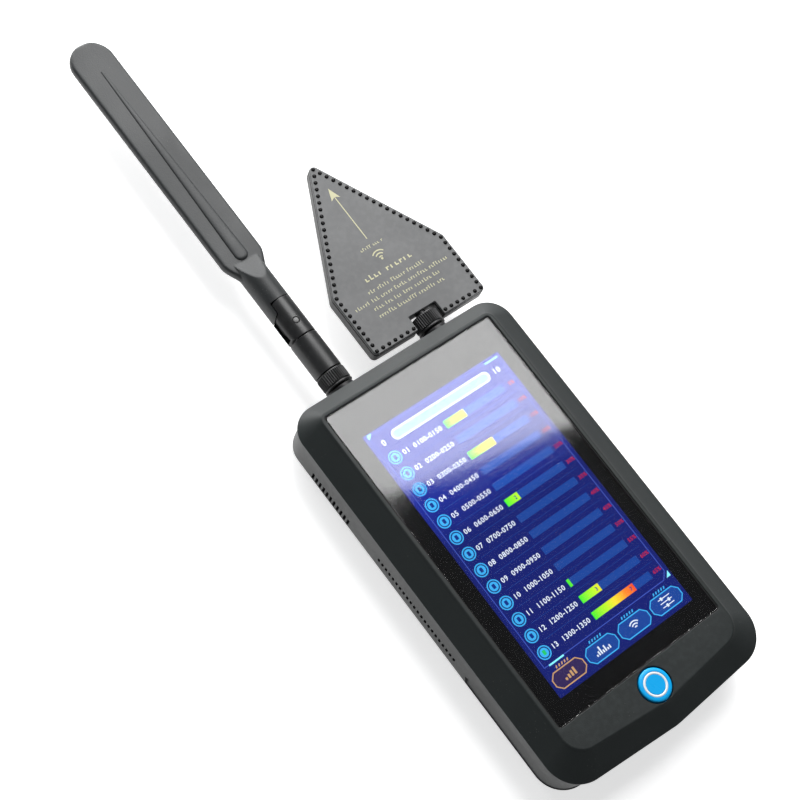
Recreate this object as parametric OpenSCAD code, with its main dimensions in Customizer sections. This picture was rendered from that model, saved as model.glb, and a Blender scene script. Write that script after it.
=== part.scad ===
// Handheld radio spectrum analyzer with a folding paddle antenna and a flat directional antenna.
// The origin is the centre of the flat back face. +X is to the right of the screen,
// +Y points to the antennas and +Z points out of the screen.

/* [Housing] */
// Width across the widest edge of the front housing
body_width = 104.8; // [103:0.1:108]
// Length from the top edge to the point of the bottom edge
body_length = 175.6; // [175:0.1:179]
// Height of the flat border round the glass above the back face
body_height = 25.2; // [25:0.1:26]
// Height of the parting line between the two housings
parting_height = 20; // [19.6:0.1:20.2]
// Wall thickness of both housings
wall = 2.2; // [2:0.1:2.4]
// Corner radius at the antenna end
top_radius = 11; // [9:0.5:12]
// Corner radius at the button end
bottom_radius = 14.5; // [12:0.5:16]
// Rise of the bottom edge from its middle point out to each side
bottom_rise = 3.4; // [2:0.1:4.5]
// Rounding of the back edges
back_radius = 5.5; // [4:0.1:6]

/* [Screen] */
// Width of the cover glass
glass_width = 81.5; // [80:0.1:82.5]
// Length of the cover glass
glass_length = 142.8; // [141:0.1:143.5]
// Thickness of the cover glass
glass_thickness = 1.1; // [0.8:0.1:1.2]
// Gap between the glass and the housing, filled by the gasket
glass_gap = 0.5; // [0.4:0.05:0.6]
// Width of the display module
panel_width = 71.6; // [70:0.1:73]
// Length of the display module
panel_length = 127; // [124:0.1:129]

/* [Button] */
// Diameter of the push button
button_diameter = 13.1; // [12:0.1:13.4]
// Travel of the push button
button_travel = 0.8; // [0.4:0.1:0.8]

/* [Vents] */
// Number of long vent slots in the left wall
slot_count = 11; // [5:1:12]
// Number of small speaker holes in the left wall
hole_count = 22; // [10:1:22]
// Spacing of the slots and of the holes
vent_pitch = 2.2; // [2:0.05:2.2]

/* [Connectors] */
// Distance of each antenna jack from the middle
jack_offset = 23.5; // [22:0.1:25]
// Diameter of the knurled coupling nuts
nut_diameter = 12.2; // [11.6:0.1:12.4]
// Number of grooves in the knurl
knurl_count = 36; // [24:1:40]

/* [Paddle antenna] */
// Diameter of the sleeve, the knuckle and the neck
sleeve_diameter = 12; // [11.2:0.1:12]
// Width of the blade
blade_width = 19; // [16:0.1:20]
// Thickness of the blade
blade_thickness = 4.2; // [4:0.1:5]
// Distance from the fold pin to the tip of the blade
blade_reach = 145.2; // [120:0.1:160]

/* [Plate antenna] */
// Width of the plate
plate_width = 56.6; // [54:0.1:58]
// Length of the plate from its bottom edge to its tip
plate_length = 81; // [76:0.1:84]
// Length of the two parallel sides
plate_side = 28.4; // [26:0.1:32]
// Thickness of the whole plate antenna
plate_thickness = 7.6; // [7:0.1:8]

/* [Hidden] */

eps = 0.01;
half_w = body_width / 2;
y_top = body_length / 2;
y_point = -body_length / 2;

// Flat border and chin around the glass
glass_y = 8.5;
rim_half_w = 42.8;
rim_top = glass_y + glass_length / 2 + 2;
rim_point = -78.9;
rim_rise = 4.5;
rim_top_radius = 3.5;
rim_bottom_radius = 9;

// Heights of the inner pieces
glass_top = body_height - 0.2;
glass_under = glass_top - glass_thickness;
ledge_z = glass_under - 0.2;
ceiling_z = body_height - 2.4;
panel_thickness = 1.8;
panel_under = glass_under - panel_thickness;
rear_top = parting_height - 0.2;
front_under = parting_height + 0.2;
rear_inset = 1.1;
floor_z = 2;
board_z = 16.5;
board_thickness = 1.6;
battery_z = 3;
battery_size = [58, 88, 7];
battery_y = -12;

// Push button
button_y = -71.3;
button_bore_r = button_diameter / 2 + 0.25;
flange_r = button_bore_r + 1;
flange_top = ceiling_z - 0.15;
flange_under = flange_top - 0.8;
switch_top = flange_under - 0.2 - button_travel;
switch_height = 2.1;

// Screws
case_screw_spots = [[-45, 76], [45, 76], [-45, 35], [45, 35], [-40, -72], [40, -72]];
board_screw_spots = [[-37, 62], [37, 62], [-37, -48], [37, -48]];
screw_r = 1.2;
head_r = 2.4;

// Connectors
jack_z = 14.5;
jack_y = y_top - rear_inset;
lock_top = y_top + 1.5;
nut_under = lock_top + 0.4;
nut_length = 6.7;
knurl_length = 5;
nut_top = nut_under + nut_length;
jack_mouth = nut_under + 5.2;
jack_r = 3.1;
lock_r = 5.6;
shank_r = 2.35;
tail_r = 1.6;
nut_bore_r = jack_r + 0.2;

// Paddle antenna
sleeve_r = sleeve_diameter / 2;
sleeve_under = nut_top + 0.3;
knuckle_under = y_top + 25.8;
sleeve_top = knuckle_under - 0.3;
pin_y = knuckle_under + 6.3;
knuckle_top = pin_y + 11;
knuckle_disc_r = 7.2;
neck_disc_r = 7.6;
neck_under = pin_y + 11.3;
ear_y = pin_y + 4.6;
ear_offset = 4.1;
tongue_r = 4.5;
tongue_half = 1.9;
slot_half = 2.1;
rivet_r = 1.5;
rivet_half = sleeve_r - 0.5;
neck_top = pin_y + 23;
shoulder_y = pin_y + 33.5;
rib_y = shoulder_y + 2;
tip_y = pin_y + blade_reach;

// Plate antenna, measured from its own bottom edge
plate_y = y_top + 3.9;
plate_top_z = jack_z + 3.5;
cover_thickness = 1.2;
board_edge = 0.6;
tray_thickness = plate_thickness - cover_thickness - board_edge;
tray_z = plate_top_z - plate_thickness;
notch_half = 6.8;
notch_depth = 6.4;
stud_pitch = 3;
stud_inset = 1.5;
stud_r = 0.75;

// ---------- shared shapes ----------

function unit(v) = v / norm(v);

// The arc that rounds corner b between corners a and c; b = [x, y, radius], counter-clockwise outline
function corner_arc(a, b, c, steps) =
    let (
        d1 = unit([b[0] - a[0], b[1] - a[1]]),
        d2 = unit([c[0] - b[0], c[1] - b[1]]),
        turn = atan2(d1[0] * d2[1] - d1[1] * d2[0], d1[0] * d2[0] + d1[1] * d2[1]),
        reach = b[2] * tan(turn / 2),
        centre = [b[0] - d1[0] * reach - d1[1] * b[2], b[1] - d1[1] * reach + d1[0] * b[2]],
        first = atan2(d1[1], d1[0]) - 90
    )
    [for (k = [0:steps]) centre + b[2] * [cos(first + turn * k / steps), sin(first + turn * k / steps)]];

// A convex outline whose corners [x, y, radius] are rounded
function rounded(corners, steps = 10) =
    let (n = len(corners))
    [for (i = [0:n - 1]) each corner_arc(corners[(i + n - 1) % n], corners[i], corners[(i + 1) % n], steps)];

function mix(a, b, t) = a + (b - a) * t;

// Outline of the housing: t = 0 is its widest edge, t = 1 is the edge of the flat border
function body_outline(t, inset = 0) =
    let (
        w = mix(half_w, rim_half_w, t) - inset,
        top = mix(y_top, rim_top, t) - inset,
        point = mix(y_point, rim_point, t) + inset,
        side = point + mix(bottom_rise, rim_rise, t),
        r1 = max(mix(top_radius, rim_top_radius, t) - inset, 0.6),
        r2 = max(mix(bottom_radius, rim_bottom_radius, t) - inset, 0.6)
    )
    rounded([[0, point, 25], [w, side, r2], [w, top, r1], [-w, top, r1], [-w, side, r2]]);

function box_outline(w, l, r) =
    rounded([[w / 2, -l / 2, r], [w / 2, l / 2, r], [-w / 2, l / 2, r], [-w / 2, -l / 2, r]], 8);

// A slab of the housing outline at height z
module body_slab(z, t, inset = 0) {
    translate([0, 0, z]) linear_extrude(eps) polygon(body_outline(t, inset));
}

module glass_slab(z, height, grow) {
    translate([0, glass_y, z]) linear_extrude(height)
        polygon(box_outline(glass_width + 2 * grow, glass_length + 2 * grow, 1.2 + max(grow, -0.6)));
}

// A cylinder along +Y from y1 to y2
module rod_y(x, y1, y2, z, r) {
    translate([x, y1, z]) rotate([-90, 0, 0]) cylinder(h = y2 - y1, r = r, $fn = 64);
}

module post(spot, z1, z2, r) {
    translate([spot[0], spot[1], z1]) cylinder(h = z2 - z1, r = r, $fn = 32);
}

// ---------- housing ----------

module hollow_step(top, t, inset) {
    translate([0, 0, front_under - 1]) linear_extrude(top - front_under + 1) polygon(body_outline(t, inset));
}

module front_housing() {
    color([0.16, 0.17, 0.17])
    difference() {
        union() {
            difference() {
                hull() {
                    body_slab(front_under, 0, 0.7);
                    body_slab(front_under + 0.7, 0, 0.12);
                    body_slab(front_under + 1.1, 0);
                    body_slab(front_under + 1.5, 0.02);
                    body_slab(body_height - 0.7, 0.9);
                    body_slab(body_height - 0.25, 0.965);
                    body_slab(body_height - eps, 1, 0.35);
                }
                // Hollow under the border, stepped to follow its slope
                hollow_step(front_under + 1, 0, wall + 1);
                hollow_step(front_under + 1.8, 0.45, 0.6);
                hollow_step(ceiling_z, 0.85, 0.6);
            }
            for (spot = case_screw_spots) intersection() {
                post(spot, front_under, ceiling_z + 0.4, 3.4);
                translate([0, 0, front_under]) linear_extrude(4) polygon(body_outline(0.55));
            }
            for (side = [-1, 1]) post([side * 9.6, button_y], button_board_top(), ceiling_z + 0.2, 1.8);
        }
        glass_slab(ledge_z, 5, glass_gap);
        glass_slab(ceiling_z - 1, 5, -2.5);
        translate([0, button_y, ceiling_z - 1]) cylinder(h = 6, r = button_bore_r, $fn = 64);
        for (spot = case_screw_spots) post(spot, front_under - 1, front_under + 2.2, screw_r);
    }
}

function button_board_top() = switch_top - switch_height;

module rear_shell() {
    difference() {
        hull() {
            for (a = [0, 18, 36, 54, 72, 90])
                body_slab(back_radius * (1 - sin(a)), 0, rear_inset + back_radius * (1 - cos(a)));
            body_slab(rear_top - eps, 0, rear_inset);
        }
        translate([0, 0, floor_z + 2]) linear_extrude(body_height) polygon(body_outline(0, rear_inset + wall));
        translate([0, 0, floor_z]) linear_extrude(body_height) polygon(body_outline(0, rear_inset + wall + 2.5));
    }
}

// Shallow band sunk into the lower part of the wall round the button end
module lower_band() {
    intersection() {
        rotate([90, 0, 90]) translate([0, 0, -60]) linear_extrude(120)
            polygon([[-27, 8], [-33, 12.5], [-100, 12.5], [-100, 3], [-29, 3]]);
        difference() {
            translate([-60, -100, 0]) cube([120, 80, 16]);
            translate([0, 0, -1]) linear_extrude(20) polygon(body_outline(0, rear_inset + 1));
        }
    }
}

module rear_housing() {
    color([0.36, 0.37, 0.37])
    difference() {
        union() {
            rear_shell();
            for (spot = case_screw_spots) post(spot, 1, rear_top, 3.4);
            for (spot = board_screw_spots) post(spot, 1, board_z, 2.6);
        }
        lower_band();
        for (k = [0:slot_count - 1])
            translate([-half_w, 67.5 - k * vent_pitch, 7]) cube([12, 1.2, 4], center = true);
        for (k = [0:hole_count - 1])
            translate([-half_w, 26.6 - k * vent_pitch, 9]) cube([12, 1.2, 2.1], center = true);
        for (side = [-1, 1]) rod_y(side * jack_offset, 70, y_top + 1, jack_z, jack_r);
        translate([half_w - 6, -38, 10]) rotate([0, 90, 0]) linear_extrude(8)
            polygon(box_outline(3.4, 9.2, 1.6));
        for (spot = case_screw_spots) {
            post(spot, -1, 2, head_r + 0.3);
            post(spot, 1, rear_top + 1, screw_r + 0.2);
        }
        for (spot = board_screw_spots) post(spot, board_z - 5, board_z + 1, 0.9);
    }
}

module housing_seal() {
    color([0.03, 0.03, 0.03])
    translate([0, 0, rear_top]) linear_extrude(front_under - rear_top) difference() {
        polygon(body_outline(0, rear_inset + 0.5));
        polygon(body_outline(0, rear_inset + wall - 0.2));
    }
}

module case_screws() {
    color([0.12, 0.12, 0.13])
    for (spot = case_screw_spots) difference() {
        union() {
            post(spot, 0.5, 2, head_r);
            post(spot, 1.5, front_under + 2, screw_r);
        }
        for (a = [0, 90])
            translate([spot[0], spot[1], 0.5]) rotate([0, 0, a]) cube([2.6, 0.7, 1.8], center = true);
    }
}

// ---------- screen ----------

module cover_glass() {
    color([0.05, 0.06, 0.08])
    glass_slab(glass_under, glass_thickness, 0);
}

module glass_gasket() {
    color([0.02, 0.02, 0.02])
    difference() {
        glass_slab(ledge_z + 0.1, glass_thickness - 0.15, glass_gap);
        glass_slab(ledge_z - 1, 5, 0);
    }
}

module glass_adhesive() {
    color([0.05, 0.05, 0.05])
    difference() {
        glass_slab(ledge_z, glass_under - ledge_z, -0.4);
        glass_slab(ledge_z - 1, 5, -2.3);
    }
}

module display_panel() {
    color([0.1, 0.15, 0.6])
    translate([0, glass_y - 2, panel_under]) linear_extrude(panel_thickness)
        polygon(box_outline(panel_width, panel_length, 1));
}

module display_frame() {
    color([0.6, 0.62, 0.64])
    translate([0, glass_y - 2, panel_under - 0.6]) linear_extrude(0.6)
        polygon(box_outline(panel_width + 1, panel_length + 1, 1.5));
}

// ---------- electronics ----------

module main_board() {
    color([0.05, 0.25, 0.12])
    translate([0, 0, board_z]) difference() {
        translate([0, 7, 0]) linear_extrude(board_thickness) polygon(box_outline(82, 122, 3));
        for (spot = board_screw_spots) translate([spot[0], spot[1], -1]) cylinder(h = 4, r = 1.1, $fn = 24);
        for (spot = case_screw_spots) translate([spot[0], spot[1], -1]) cylinder(h = 4, r = 4.4, $fn = 24);
    }
}

module shield_can() {
    color([0.7, 0.7, 0.68])
    translate([0, 46, board_z - 2.6]) difference() {
        linear_extrude(2.6) polygon(box_outline(56, 24, 1));
        translate([0, 0, 0.3]) linear_extrude(3) polygon(box_outline(55.4, 23.4, 0.7));
    }
}

module rf_sockets() {
    color([0.8, 0.65, 0.3])
    for (side = [-1, 1])
        translate([side * jack_offset, 62, board_z - 2]) cylinder(h = 2, r = 1.6, $fn = 24);
}

// Short coaxial lead from each jack back to its socket on the board
module rf_leads() {
    color([0.1, 0.1, 0.1])
    for (side = [-1, 1]) {
        rod_y(side * jack_offset, 62, 71.5, board_z - 3.2, 0.7);
        translate([side * jack_offset, 62, board_z - 4.2]) cylinder(h = 2.2, r = 1.9, $fn = 32);
    }
}

module battery_pack() {
    color([0.75, 0.76, 0.78])
    translate([0, battery_y, battery_z]) linear_extrude(battery_size[2])
        polygon(box_outline(battery_size[0], battery_size[1], 3));
}

module battery_pad() {
    color([0.1, 0.1, 0.1])
    translate([0, battery_y, floor_z]) linear_extrude(battery_z - floor_z)
        polygon(box_outline(battery_size[0] - 6, battery_size[1] - 6, 2));
}

module speaker() {
    color([0.08, 0.08, 0.08])
    translate([-41.5, 4, 4.2]) linear_extrude(9) polygon(box_outline(10, 30, 2));
}

module vent_mesh() {
    color([0.05, 0.05, 0.05])
    translate([-half_w + rear_inset + wall, -23, 5]) cube([0.4, 94, 8]);
}

module usb_socket() {
    color([0.7, 0.7, 0.72])
    translate([half_w - 9.6, -38, 10]) rotate([0, 90, 0]) difference() {
        linear_extrude(7.6) polygon(box_outline(3.2, 9, 1.5));
        translate([0, 0, 1]) linear_extrude(7) polygon(box_outline(2.6, 8.4, 1.25));
    }
}

module board_screws() {
    color([0.6, 0.6, 0.6])
    for (spot = board_screw_spots) {
        post(spot, board_z + board_thickness, board_z + board_thickness + 1, 1.8);
        post(spot, board_z - 4.5, board_z + board_thickness, 0.9);
    }
}

// ---------- push button ----------

module button_cap() {
    cap_r = button_diameter / 2;
    color([0.1, 0.62, 0.97])
    translate([0, button_y, 0]) difference() {
        union() {
            translate([0, 0, flange_under]) cylinder(h = 0.8, r = flange_r, $fn = 64);
            translate([0, 0, flange_under])
                cylinder(h = body_height - flange_under + 0.1, r = cap_r, $fn = 64);
            translate([0, 0, body_height + 0.1]) cylinder(h = 0.4, r1 = cap_r, r2 = cap_r - 0.7, $fn = 64);
        }
        translate([0, 0, body_height + 0.2]) difference() {
            cylinder(h = 1, r = 5, $fn = 64);
            translate([0, 0, -1]) cylinder(h = 3, r = 3.8, $fn = 64);
        }
    }
}

module button_ring() {
    color([0.95, 0.97, 1])
    translate([0, button_y, body_height + 0.2]) difference() {
        cylinder(h = 0.32, r = 5, $fn = 64);
        translate([0, 0, -1]) cylinder(h = 3, r = 3.8, $fn = 64);
    }
}

module switch_plunger() {
    color([0.9, 0.9, 0.85])
    post([0, button_y], switch_top - 0.9, flange_under, 1.6);
}

module button_switch() {
    color([0.2, 0.2, 0.2])
    difference() {
        translate([-3, button_y - 3, switch_top - switch_height]) cube([6, 6, switch_height]);
        post([0, button_y], switch_top - 1.8, switch_top + 1, 1.75);
    }
}

module button_board() {
    color([0.05, 0.25, 0.12])
    translate([0, button_y, button_board_top() - 1]) linear_extrude(1) polygon(box_outline(25, 9, 1.5));
}

// ---------- connectors ----------

// Bulkhead jack: threaded barrel outside, body inside the wall, socket for the centre pin
module jack(x) {
    difference() {
        union() {
            rod_y(x, 71.5, jack_y - wall, jack_z, 4.6);
            rod_y(x, jack_y - wall, jack_mouth, jack_z, jack_r);
        }
        rod_y(x, jack_mouth - 4, jack_mouth + 1, jack_z, 2.5);
    }
    difference() {
        rod_y(x, jack_mouth - 4, jack_mouth - 1, jack_z, 1);
        rod_y(x, jack_mouth - 3, jack_mouth, jack_z, 0.6);
    }
}

module left_jack() {
    color([0.1, 0.1, 0.1])
    jack(-jack_offset);
}

module right_jack() {
    color([0.1, 0.1, 0.1])
    jack(jack_offset);
}

module jack_nuts() {
    color([0.08, 0.08, 0.08])
    for (side = [-1, 1]) difference() {
        union() {
            rod_y(side * jack_offset, jack_y, lock_top - 0.4, jack_z, lock_r);
            rod_y(side * jack_offset, lock_top - 0.5, lock_top, jack_z, lock_r - 0.4);
        }
        rod_y(side * jack_offset, jack_y - 1, lock_top + 1, jack_z, jack_r);
    }
}

// Coupling nut with a straight knurl, a plain ring at its lower end and a rim that holds it on the plug
module coupling_nut(x) {
    nut_r = nut_diameter / 2;
    knurl_from = nut_under + 1.2;
    difference() {
        union() {
            rod_y(x, nut_under, nut_under + 0.9, jack_z, nut_r);
            rod_y(x, nut_under + 0.8, knurl_from + 0.1, jack_z, nut_r - 0.5);
            rod_y(x, knurl_from, nut_top, jack_z, nut_r);
        }
        rod_y(x, nut_under - 1, jack_mouth + 0.3, jack_z, nut_bore_r);
        rod_y(x, nut_under, nut_top + 1, jack_z, 2.65);
        for (k = [0:knurl_count - 1])
            translate([x, knurl_from - 0.05, jack_z]) rotate([0, k * 360 / knurl_count, 0])
                translate([0, 0, nut_r]) rotate([0, 45, 0])
                    translate([-0.28, 0, -0.28]) cube([0.56, knurl_length, 0.56]);
    }
}

// Centre part of an antenna plug: collar, centre pin, the shank that carries the nut, and a tail
module plug(x, shank_end, tail_end) {
    difference() {
        union() {
            rod_y(x, jack_mouth - 3, shank_end, jack_z, shank_r);
            rod_y(x, shank_end - 1, tail_end, jack_z, tail_r);
        }
        rod_y(x, jack_mouth - 4, jack_mouth + 0.2, jack_z, 1.5);
    }
    rod_y(x, jack_mouth - 2.5, jack_mouth + 0.3, jack_z, 0.45);
}

module paddle_nut() {
    color([0.07, 0.07, 0.07])
    coupling_nut(-jack_offset);
}

module paddle_plug() {
    color([0.8, 0.65, 0.3])
    plug(-jack_offset, sleeve_under + 3, sleeve_under + 8);
}

module plate_nut() {
    color([0.07, 0.07, 0.07])
    coupling_nut(jack_offset);
}

module plate_plug() {
    color([0.8, 0.65, 0.3])
    plug(jack_offset, plate_y + notch_depth, plate_y + notch_depth + 8);
}

// ---------- paddle antenna ----------

module paddle_sleeve() {
    color([0.13, 0.13, 0.13])
    difference() {
        union() {
            rod_y(-jack_offset, sleeve_under, sleeve_top, jack_z, sleeve_r);
            rod_y(-jack_offset, sleeve_top - 1, sleeve_top + 0.3, jack_z, 3);
        }
        rod_y(-jack_offset, sleeve_under - 1, sleeve_under + 3, jack_z, shank_r);
        rod_y(-jack_offset, sleeve_under, sleeve_under + 8, jack_z, tail_r);
    }
}

module pin_disc(r, half, grow = 0) {
    translate([-jack_offset, pin_y, jack_z - half - grow]) cylinder(h = 2 * (half + grow), r = r, $fn = 64);
}

module paddle_knuckle() {
    color([0.13, 0.13, 0.13])
    difference() {
        intersection() {
            rod_y(-jack_offset, knuckle_under, knuckle_top, jack_z, sleeve_r);
            union() {
                pin_disc(knuckle_disc_r, 8);
                translate([-jack_offset, knuckle_under, jack_z - 8]) cube([8, 30, 16]);
                intersection() {
                    pin_disc(knuckle_top - pin_y, 8);
                    translate([-jack_offset - ear_offset + 0.3, knuckle_under, jack_z - 8]) cube([8, 30, 16]);
                }
            }
        }
        pin_disc(tongue_r + 0.3, slot_half);
        translate([-jack_offset - 8, pin_y, jack_z - slot_half]) cube([16, 20, 2 * slot_half]);
        translate([-jack_offset - 8, pin_y - tongue_r - 0.3, jack_z - slot_half])
            cube([8, 20, 2 * slot_half]);
        pin_disc(rivet_r, 8);
    }
}

module paddle_rivet() {
    color([0.3, 0.3, 0.3])
    translate([-jack_offset, pin_y, jack_z]) {
        cylinder(h = 2 * rivet_half, r = rivet_r, center = true, $fn = 48);
        for (side = [-1, 1]) translate([0, 0, side * rivet_half])
            scale([1, 1, side]) cylinder(h = 0.35, r1 = rivet_r, r2 = rivet_r - 0.4, $fn = 48);
    }
}

// Section of the blade: the outline shrunk by grow, half way through its thickness
module blade_slab(z, inset) {
    w = blade_width - 2 * inset;
    translate([-jack_offset, 0, jack_z + z - eps / 2]) linear_extrude(eps)
        polygon(rounded([
            [w / 2, shoulder_y + inset, 3], [w / 2, tip_y - inset, w / 2 - 0.05],
            [-w / 2, tip_y - inset, w / 2 - 0.05], [-w / 2, shoulder_y + inset, 3]
        ], 12));
}

module paddle_blade() {
    half_t = blade_thickness / 2;
    color([0.2, 0.2, 0.21])
    difference() {
        union() {
            // Flat blade with rounded edges
            hull() {
                for (side = [-1, 1]) {
                    blade_slab(side * half_t, 1.2);
                    blade_slab(side * (half_t - 0.5), 0.3);
                }
                blade_slab(0, 0);
            }
            // Shoulder from the round neck to the flat blade
            hull() {
                rod_y(-jack_offset, neck_top, neck_top + 1, jack_z, sleeve_r - 0.05);
                intersection() {
                    translate([-jack_offset - 20, shoulder_y + 3, jack_z - 20]) cube([40, 1.5, 40]);
                    hull() {
                        blade_slab(-half_t + 0.1, 1);
                        blade_slab(half_t - 0.1, 1);
                        blade_slab(0, 0.1);
                    }
                }
            }
            // Raised tapered rib on both faces
            hull() {
                translate([-jack_offset, tip_y - 14, jack_z])
                    cylinder(h = blade_thickness + 0.5, r = 0.5, center = true, $fn = 24);
                translate([-jack_offset, rib_y, jack_z])
                    cylinder(h = blade_thickness + 1.5, r = 2.9, center = true, $fn = 32);
            }
            // Round neck, cut clear of the knuckle but for an ear on its left
            difference() {
                rod_y(-jack_offset, ear_y, neck_top + 0.5, jack_z, sleeve_r);
                pin_disc(neck_disc_r, 8);
                translate([-jack_offset - ear_offset, ear_y - 1, jack_z - 8])
                    cube([16, neck_under - ear_y + 1, 16]);
            }
            // Tongue between the knuckle's cheeks
            pin_disc(tongue_r, tongue_half);
            translate([-jack_offset - tongue_r, pin_y, jack_z - tongue_half])
                cube([2 * tongue_r, neck_under - pin_y + 1, 2 * tongue_half]);
        }
        pin_disc(rivet_r + 0.1, 8);
        translate([-jack_offset - 5, shoulder_y + 2, jack_z - 0.5]) cube([10, tip_y - shoulder_y - 12, 1]);
    }
}

module paddle_element() {
    color([0.1, 0.3, 0.15])
    translate([-jack_offset - 4.5, shoulder_y + 3, jack_z - 0.4]) cube([9, tip_y - shoulder_y - 16, 0.8]);
}

// ---------- plate antenna ----------

// Corners of the plate outline, round its own axis
function plate_corners(inset, r) =
    let (w = plate_width / 2 - inset)
    [[w, inset, r], [w, plate_side - inset * 0.4, r + 2], [0, plate_length + 1.5 - inset * 1.8, r],
     [-w, plate_side - inset * 0.4, r + 2], [-w, inset, r]];

module plate_slab(z, height, inset, r = 2) {
    translate([jack_offset, plate_y, z]) linear_extrude(height) polygon(rounded(plate_corners(inset, r), 8));
}

module notch(grow = 0) {
    translate([jack_offset - notch_half - grow, plate_y - 1, 0])
        cube([2 * (notch_half + grow), notch_depth + 1 + grow, 40]);
}

module plate_tray() {
    color([0.3, 0.3, 0.3])
    difference() {
        union() {
            hull() {
                plate_slab(tray_z, 0.05, 2);
                plate_slab(tray_z + 0.7, 0.05, 0.7);
                plate_slab(tray_z + 2, 0.05, 0);
            }
            plate_slab(tray_z + 2, tray_thickness - 2, 0);
        }
        difference() {
            plate_slab(tray_z + 1.4, 10, 2.2, 1);
            notch(1.6);
        }
        notch();
        rod_y(jack_offset, plate_y, plate_y + notch_depth + 3, jack_z, tail_r);
    }
}

module plate_board() {
    color([0.03, 0.03, 0.03])
    difference() {
        plate_slab(tray_z + tray_thickness, board_edge, 0.35);
        notch(0.3);
    }
}

module plate_cover() {
    color([0.5, 0.51, 0.51])
    difference() {
        hull() {
            plate_slab(plate_top_z - cover_thickness, cover_thickness - 0.35, 0);
            plate_slab(plate_top_z - cover_thickness, cover_thickness, 0.35);
        }
        notch();
    }
}

// Centres of the studs along one straight run
function run_spots(a, b, from = 0) =
    let (count = max(1, round(norm(b - a) / stud_pitch)))
    [for (k = [from:count - 1]) a + (b - a) * k / count];

module plate_studs() {
    w = plate_width / 2 - stud_inset;
    tip = plate_length - 0.6 - stud_inset;
    foot = notch_half + 1.4;
    spots = concat(
        run_spots([foot, stud_inset], [w, stud_inset]),
        run_spots([w, stud_inset], [w, plate_side - 0.6]),
        run_spots([w, plate_side - 0.6], [0, tip])
    );
    color([0.03, 0.03, 0.03])
    translate([jack_offset, plate_y, plate_top_z]) {
        for (side = [-1, 1], spot = spots)
            translate([side * spot[0], spot[1], 0]) stud();
        translate([0, tip, 0]) stud();
    }
}

module stud() {
    cylinder(h = 0.2, r = stud_r, $fn = 16);
    translate([0, 0, 0.2]) cylinder(h = 0.22, r1 = stud_r, r2 = stud_r - 0.3, $fn = 16);
}

module plate_lead() {
    color([0.1, 0.1, 0.1])
    rod_y(jack_offset, plate_y + notch_depth + 8, plate_y + 60, jack_z - 0.6, 0.9);
}

front_housing();
rear_housing();
housing_seal();
cover_glass();
glass_gasket();
glass_adhesive();
display_panel();
display_frame();
main_board();
shield_can();
rf_sockets();
rf_leads();
battery_pack();
battery_pad();
speaker();
vent_mesh();
usb_socket();
case_screws();
board_screws();
button_cap();
button_ring();
switch_plunger();
button_switch();
button_board();
left_jack();
right_jack();
jack_nuts();
paddle_nut();
paddle_plug();
paddle_sleeve();
paddle_knuckle();
paddle_rivet();
paddle_blade();
paddle_element();
plate_nut();
plate_plug();
plate_lead();
plate_tray();
plate_board();
plate_cover();
plate_studs();
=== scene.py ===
import math
import random

import bmesh
import bpy
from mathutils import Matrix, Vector


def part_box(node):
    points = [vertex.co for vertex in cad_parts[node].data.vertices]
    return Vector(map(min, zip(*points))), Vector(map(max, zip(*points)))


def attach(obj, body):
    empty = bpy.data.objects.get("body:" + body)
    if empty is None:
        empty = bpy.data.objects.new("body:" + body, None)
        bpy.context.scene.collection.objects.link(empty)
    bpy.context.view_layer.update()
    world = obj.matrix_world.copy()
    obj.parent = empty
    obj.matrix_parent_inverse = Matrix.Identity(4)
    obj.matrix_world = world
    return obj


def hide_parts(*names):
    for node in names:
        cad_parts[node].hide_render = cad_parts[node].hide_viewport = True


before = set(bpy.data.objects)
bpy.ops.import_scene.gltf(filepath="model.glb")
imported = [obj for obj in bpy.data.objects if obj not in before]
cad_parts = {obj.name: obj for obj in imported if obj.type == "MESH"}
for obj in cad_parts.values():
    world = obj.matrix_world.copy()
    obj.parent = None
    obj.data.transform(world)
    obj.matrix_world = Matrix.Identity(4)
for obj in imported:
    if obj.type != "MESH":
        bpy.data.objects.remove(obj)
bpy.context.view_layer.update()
print("stage: frame loaded")

mm = 0.001  # shapes are drawn in millimetres and scaled once, when a piece is made


def span(node):  # lowest and highest corner of a CAD node, in millimetres
    low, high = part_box(node)
    return low / mm, high / mm


# Camera first, so that everything else can be judged from it
cameraSettings = {
    "place": (-0.32554, -0.07101, 0.67914),
    "turn": (24.363, -13.746, -38.045),  # degrees
    "lens": 87.81,
    "sensor": 36.0,
}


def addCamera(settings):
    data = bpy.data.cameras.new("camera")
    data.lens = settings["lens"]
    data.sensor_width = settings["sensor"]
    data.clip_start = 0.01
    data.clip_end = 30
    camera = bpy.data.objects.new("camera", data)
    camera.location = settings["place"]
    camera.rotation_euler = [math.radians(a) for a in settings["turn"]]
    bpy.context.scene.collection.objects.link(camera)
    bpy.context.scene.camera = camera


addCamera(cameraSettings)
bpy.context.scene.view_settings.view_transform = "Standard"
print("stage: camera")


# A shape is a pair (points, faces) in millimetres
def joined(*shapes):
    points, faces = [], []
    for shapePoints, shapeFaces in shapes:
        start = len(points)
        points += [tuple(p) for p in shapePoints]
        faces += [tuple(start + i for i in face) for face in shapeFaces]
    return points, faces


def mirroredZ(shape, z):
    return [(p[0], p[1], 2 * z - p[2]) for p in shape[0]], [face[::-1] for face in shape[1]]


def loft(rings, capStart=True, capEnd=True, closed=False):
    count = len(rings[0])
    points = [p for ring in rings for p in ring]
    faces = []
    for k in range(len(rings) if closed else len(rings) - 1):
        a, b = k * count, (k + 1) % len(rings) * count
        for i in range(count):
            j = (i + 1) % count
            faces.append((a + i, a + j, b + j, b + i))
    if capStart and not closed:
        faces.append(tuple(range(count))[::-1])
    if capEnd and not closed:
        start = (len(rings) - 1) * count
        faces.append(tuple(range(start, start + count)))
    return points, faces


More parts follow.
